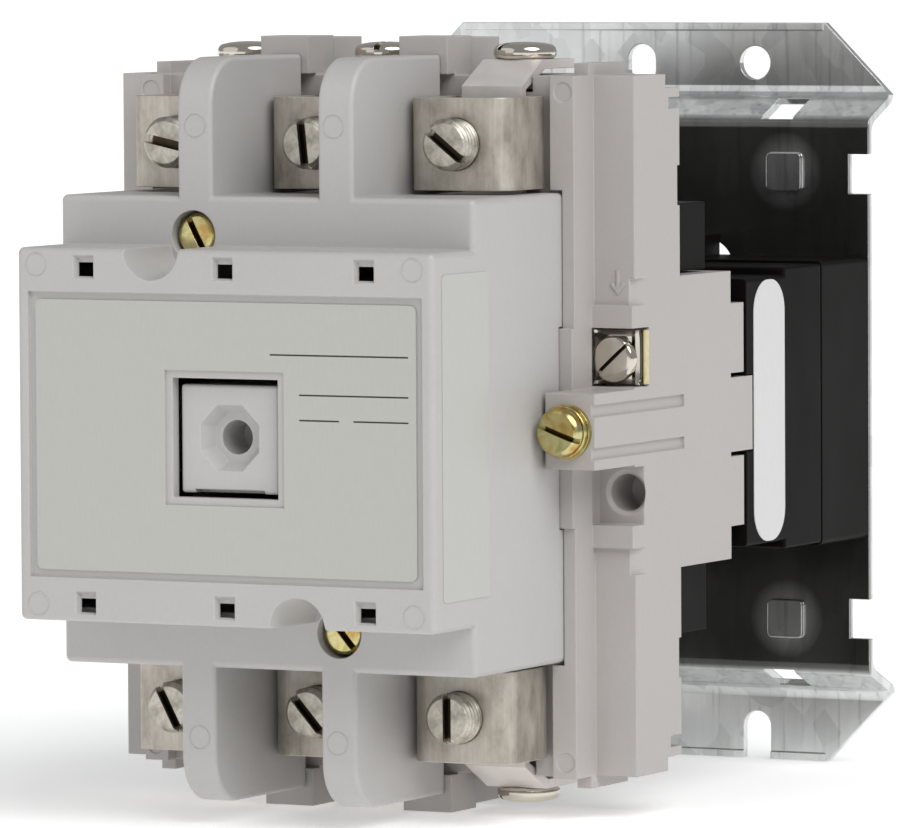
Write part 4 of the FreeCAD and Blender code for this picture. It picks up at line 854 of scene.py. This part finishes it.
class STARTER_OT_headed_screws(bpy.types.Operator):
    """Models the slotted heads of the strap, cover, side and coil terminal screws"""
    bl_idname = "starter.headed_screws"
    bl_label = "Headed screws"

    def execute(self, context):
        screws = context.scene.starter_screws
        wide, narrow, fine = screws.head_slot, screws.side_slot, screws.coil_slot
        nickel = bright_plate("bright_nickel_screw", "#D9D2C6", 0.10, slot=4.2)
        chromate = yellow_chromate("yellow_chromate_zinc", context.scene.starter_finishes.chromate)
        binding = ([(2.35, -12.0), (2.4, -3.65), (5.6, -3.6)] + rounded_corner((5.6, -2.5), 1.1, -90, 0)
                   + rounded_corner((5.2, -2.0), 1.5, 0, 78) + [(4.2, -0.25), (2.6, -0.08), (0.9, 0.0)])
        fillister = ([(2.1, -46.0), (2.1, -5.3), (4.4, -5.3)] + rounded_corner((4.35, -5.0), 0.3, -60, 0)
                     + rounded_corner((3.4, -1.35), 1.25, 0, 75) + [(2.7, -0.07), (1.0, 0.0)])
        lock_washer = [(2.4, -124.0), (2.4, -3.95), (5.3, -3.95), (5.5, -3.8), (5.5, -2.85), (5.3, -2.7),
                       (3.6, -2.68)]
        side_head = (lock_washer + [(3.6, -2.5), (4.8, -2.45)] + rounded_corner((4.85, -2.1), 0.35, -80, 0)
                     + rounded_corner((3.1, -2.0), 2.1, 0, 62) + [(3.1, -0.13), (2.0, -0.04), (0.9, 0.0)])
        small_head = ([(2.0, -12.0), (2.0, -2.8), (4.5, -2.8)] + rounded_corner((4.5, -2.4), 0.4, -80, 0)
                      + rounded_corner((4.0, -1.0), 0.9, 0, 76) + [(3.0, -0.05), (1.0, 0.0)])
        tab_angles, slot_length = {"line": (20, 100, 60), "load": (75, 10, 130)}, 16.0
        rows = [("%s_tab_screw_%s" % (end, pole), "top" if side > 0 else "bottom", binding, 1.7, angle, nickel,
                 "nickel_plate", wide)
                for end, side in ENDS.items() for pole, angle in zip(POLES, tab_angles[end])]
        rows += [("arc_box_screw_top", "front", fillister, 1.9, -62, chromate, "yellow_zinc", wide),
                 ("arc_box_screw_bottom", "front", fillister, 1.9, -50, chromate, "yellow_zinc", wide),
                 ("captive_screw_right", "front", side_head, 2.0, -20, chromate, "yellow_zinc", narrow),
                 ("captive_screw_left", "front", side_head, 2.0, -110, chromate, "yellow_zinc", narrow),
                 ("coil_screw_right", "front", small_head, 1.3, 42, nickel, "nickel_plate", fine),
                 ("coil_screw_left", "front", small_head, 1.3, -30, nickel, "nickel_plate", fine)]
        for node, side, profile, slot_depth, angle, material, slot, slot_width in rows:
            blank = mesh_from(node + "_blank", lambda bm, profile=profile: lathe(bm, profile))
            slotted = cut_slot(blank, slot_width, slot_depth, slot_length, angle)
            screw_piece(node, side, slotted, material)
        finish_node(chromate, "yellow_zinc", "captive_washers")
        return {"FINISHED"}


class STARTER_OT_upper_base(bpy.types.Operator):
    """Finishes the upper base and adds the raised arrow beside the coil terminals"""
    bl_idname = "starter.upper_base"
    bl_label = "Upper base"

    def execute(self, context):
        plastic = moulding_compound("warm_grey_polyester_moulding", context.scene.starter_finishes.base, 0.44)
        finish_node(plastic, "base_plastic", "upper_base")
        channel_y, arrow_x, tip_z, rise = -131.3, 57.6, 27.8, 0.25
        half = [(0.0, 0.0), (1.75, 2.1), (1.2, 2.65), (0.38, 1.75), (0.38, 5.2)]
        outline = half + [(-x, z) for x, z in reversed(half[1:])]

        def arrows(bm):
            for side in (-1, 1):
                rows = [[((side * arrow_x + x) * MM, y * MM, (tip_z + z) * MM) for x, z in outline]
                        for y in (channel_y + 0.2, channel_y - rise)]
                add_capped_grid(bm, rows)
        new_piece("coil_arrows", mesh_from("coil_arrows", arrows), plastic, "root")
        return {"FINISHED"}


class STARTER_OT_coil(bpy.types.Operator):
    """Finishes the coil, its winding and its terminals, and adds the fibre strips under the clamps"""
    bl_idname = "starter.coil"
    bl_label = "Coil"

    def execute(self, context):
        finish_node(black_moulding("black_epoxy_encapsulation", context.scene.starter_finishes.black, 0.40),
                    "coil_moulding", "coil_case")
        finish_node(copper_metal("enamelled_copper_winding", "#B5653A", "#7E3F22", 0.28, 0.5), "copper",
                    "coil_winding")
        nickel = bright_plate("bright_nickel_clamp", "#CFC9BF", 0.13)
        finish_node(nickel, "nickel_plate", "coil_terminal_plates")
        clamp_low, clamp_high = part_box("coil_saddle_clamps")
        inner_x, bend, sheet, rows = 50.7 * MM, 0.8, 0.7, 26
        middle_z, half_z = (clamp_low.z + clamp_high.z) / 2, (clamp_high.z - clamp_low.z) / 2
        across = [2 * i / (rows - 1) - 1 for i in range(rows)]

        def bent(u, v):
            """How far the clamp stands up at u across and v along it, both from -1 to 1."""
            corner = 0.9 * abs(u * v) ** 5
            lip = 0.8 * math.exp(-((u - 0.86) / 0.09) ** 2)
            dip = 0.6 * math.exp(-((u - 0.62) / 0.12) ** 2)
            fold = 0.8 * max(0.0, abs(v) - 0.86) / 0.14 * (1 - abs(u) ** 4)
            return bend * (corner + lip - dip - fold)

        def clamps(bm):
            for side in (-1, 1):
                rows_of_points = [[(side * (inner_x + (clamp_high.x - inner_x) * (u + 1) / 2),
                                    clamp_low.y + (bend - bent(u, v)) * MM, middle_z + v * half_z) for u in across]
                                  for v in across]
                add_grid(bm, rows_of_points, closed_columns=False)
            bmesh.ops.recalc_face_normals(bm, faces=bm.faces)
            bmesh.ops.solidify(bm, geom=list(bm.faces), thickness=sheet * MM)
        new_piece("coil_clamps_bent", mesh_from("coil_clamps_bent", clamps), nickel, "root",
                  stands_for=("coil_saddle_clamps",))
        fibre = soft_sheet("cream_vulcanised_fibre", "#DDD0A4", 0.62, 1.2, 0.02)
        low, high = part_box("coil_terminal_plates")
        thick, deep, aside, forward, rounding = (value * MM for value in (0.6, 2.0, 0.45, 0.4, 0.15))

        def strips(bm):
            for side in (-1, 1):
                size = Matrix.Diagonal((thick, deep, high.z - low.z, 1.0))
                at = Matrix.Translation((side * (high.x + aside), low.y - forward, (low.z + high.z) / 2))
                bmesh.ops.create_cube(bm, size=1.0, matrix=at @ size)
            bmesh.ops.bevel(bm, geom=list(bm.edges), offset=rounding, segments=2, affect="EDGES")
        new_piece("coil_fibre_strips", mesh_from("coil_fibre_strips", strips), fibre, "root")
        return {"FINISHED"}


class STARTER_OT_lower_base(bpy.types.Operator):
    """Finishes the black lower base and the screws that hold it to the plate"""
    bl_idname = "starter.lower_base"
    bl_label = "Lower base"

    def execute(self, context):
        finish_node(black_moulding("black_phenolic_moulding", "#0E0D0C", 0.36), "black_moulding", "lower_base")
        finish_node(bright_plate("zinc_plate_screw", "#BDBBB6", 0.26), "dull_zinc", "plate_screws")
        return {"FINISHED"}


class STARTER_OT_magnet(bpy.types.Operator):
    """Finishes the magnet core, armature, pin, shading rings and cushion"""
    bl_idname = "starter.magnet"
    bl_label = "Magnet"

    def execute(self, context):
        finish_node(laminations("silicon_steel_laminations", "#A4A8AA"), "lamination_steel",
                    "magnet_core", "armature")
        finish_node(copper_metal("bare_copper_ring", "#C27A4C", "#8E5230", 0.26), "copper", "shading_rings")
        finish_node(drawn_wire("ground_steel_pin", "#B4B3B0"), "spring_steel", "armature_pin")
        finish_node(soft_sheet("black_nitrile_rubber", "#1C1B1A", 0.78, 0.9, 0.03), "cushion_rubber",
                    "magnet_cushion")
        return {"FINISHED"}


class STARTER_OT_contacts(bpy.types.Operator):
    """Finishes the moving contact bridges and the fixed silver contacts"""
    bl_idname = "starter.contacts"
    bl_label = "Contacts"

    def execute(self, context):
        bar = copper_metal("rolled_copper_bridge", "#BE7B52", "#8A5535", 0.30)
        for pole in POLES:
            finish_node(bar, "contact_copper", "contact_bridge_" + pole)
        finish_node(bright_plate("silver_cadmium_contact", "#D3D1CB", 0.34, 0.3, 0.01), "silver_alloy",
                    "stationary_contacts")
        return {"FINISHED"}


class STARTER_OT_springs(bpy.types.Operator):
    """Winds the contact springs and the return springs, each with a mesh of its own"""
    bl_idname = "starter.springs"
    bl_label = "Springs"

    def execute(self, context):
        wire_finish = drawn_wire("drawn_spring_wire", "#A3A29E")

        def wind(node, turns, wire):
            low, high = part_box(node)
            middle, radius = (low + high) / 2, (high.x - low.x) / 2 - wire
            run, steps, around = high.y - low.y - 2 * wire, 28, 10
            rows = []
            for i in range(turns * steps + 1):
                t = i / (turns * steps)
                a = 2 * math.pi * turns * t
                eased = t - math.sin(2 * math.pi * t) / (2 * math.pi) * 0.35
                out = Vector((math.cos(a), 0, math.sin(a)))
                centre = Vector((middle.x, low.y + wire + run * eased, middle.z)) + out * radius
                rows.append([centre + (out * math.cos(b) + Vector((0, math.sin(b), 0))) * wire
                             for b in (2 * math.pi * j / around for j in range(around))])

            body = frame["nodes"][node]["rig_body"]
            coil = mesh_from(node, lambda bm: add_capped_grid(bm, rows))
            piece = new_piece(node + "_wound", coil, wire_finish, body, stands_for=(node,))
            return piece, low, high
        for pole in POLES:
            piece, low, high = wind("contact_spring_" + pole, 4, 0.45 * MM)
            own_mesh(piece)
        for side in ("right", "left"):
            piece, low, high = wind("kickout_spring_" + side, 7, 0.55 * MM)
            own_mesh(piece)
        return {"FINISHED"}


class STARTER_PT_panel(bpy.types.Panel):
    """Lists the steps that build the starter's looks"""
    bl_idname = "STARTER_PT_panel"
    bl_label = "Motor starter"
    bl_space_type = "VIEW_3D"
    bl_region_type = "UI"
    bl_category = "Starter"

    def draw(self, context):
        for step in STEPS:
            self.layout.operator(step.bl_idname)
        for group in ("starter_stage", "starter_finishes", "starter_screws"):
            settings = getattr(context.scene, group)
            for name in settings.bl_rna.properties.keys():
                if name not in ("rna_type", "name"):
                    self.layout.prop(settings, name)


GROUPS = {"starter_stage": STARTER_PG_stage, "starter_finishes": STARTER_PG_finishes,
          "starter_screws": STARTER_PG_screws}
STEPS = (STARTER_OT_stage, STARTER_OT_mounting_plate, STARTER_OT_arc_box, STARTER_OT_labels, STARTER_OT_crossbar,
         STARTER_OT_terminals, STARTER_OT_set_screws, STARTER_OT_headed_screws, STARTER_OT_upper_base,
         STARTER_OT_coil, STARTER_OT_lower_base, STARTER_OT_magnet, STARTER_OT_contacts, STARTER_OT_springs)


def register():
    for name, group in GROUPS.items():
        bpy.utils.register_class(group)
        setattr(bpy.types.Scene, name, bpy.props.PointerProperty(type=group))
    for step in STEPS + (STARTER_PT_panel,):
        bpy.utils.register_class(step)


def unregister():
    for step in reversed(STEPS + (STARTER_PT_panel,)):
        bpy.utils.unregister_class(step)
    for name, group in GROUPS.items():
        delattr(bpy.types.Scene, name)
        bpy.utils.unregister_class(group)


def main():
    """Builds the starter's looks step by step."""
    register()
    for step in STEPS:
        family, name = step.bl_idname.split(".")
        getattr(getattr(bpy.ops, family), name)()


if __name__ == "__main__":
    main()
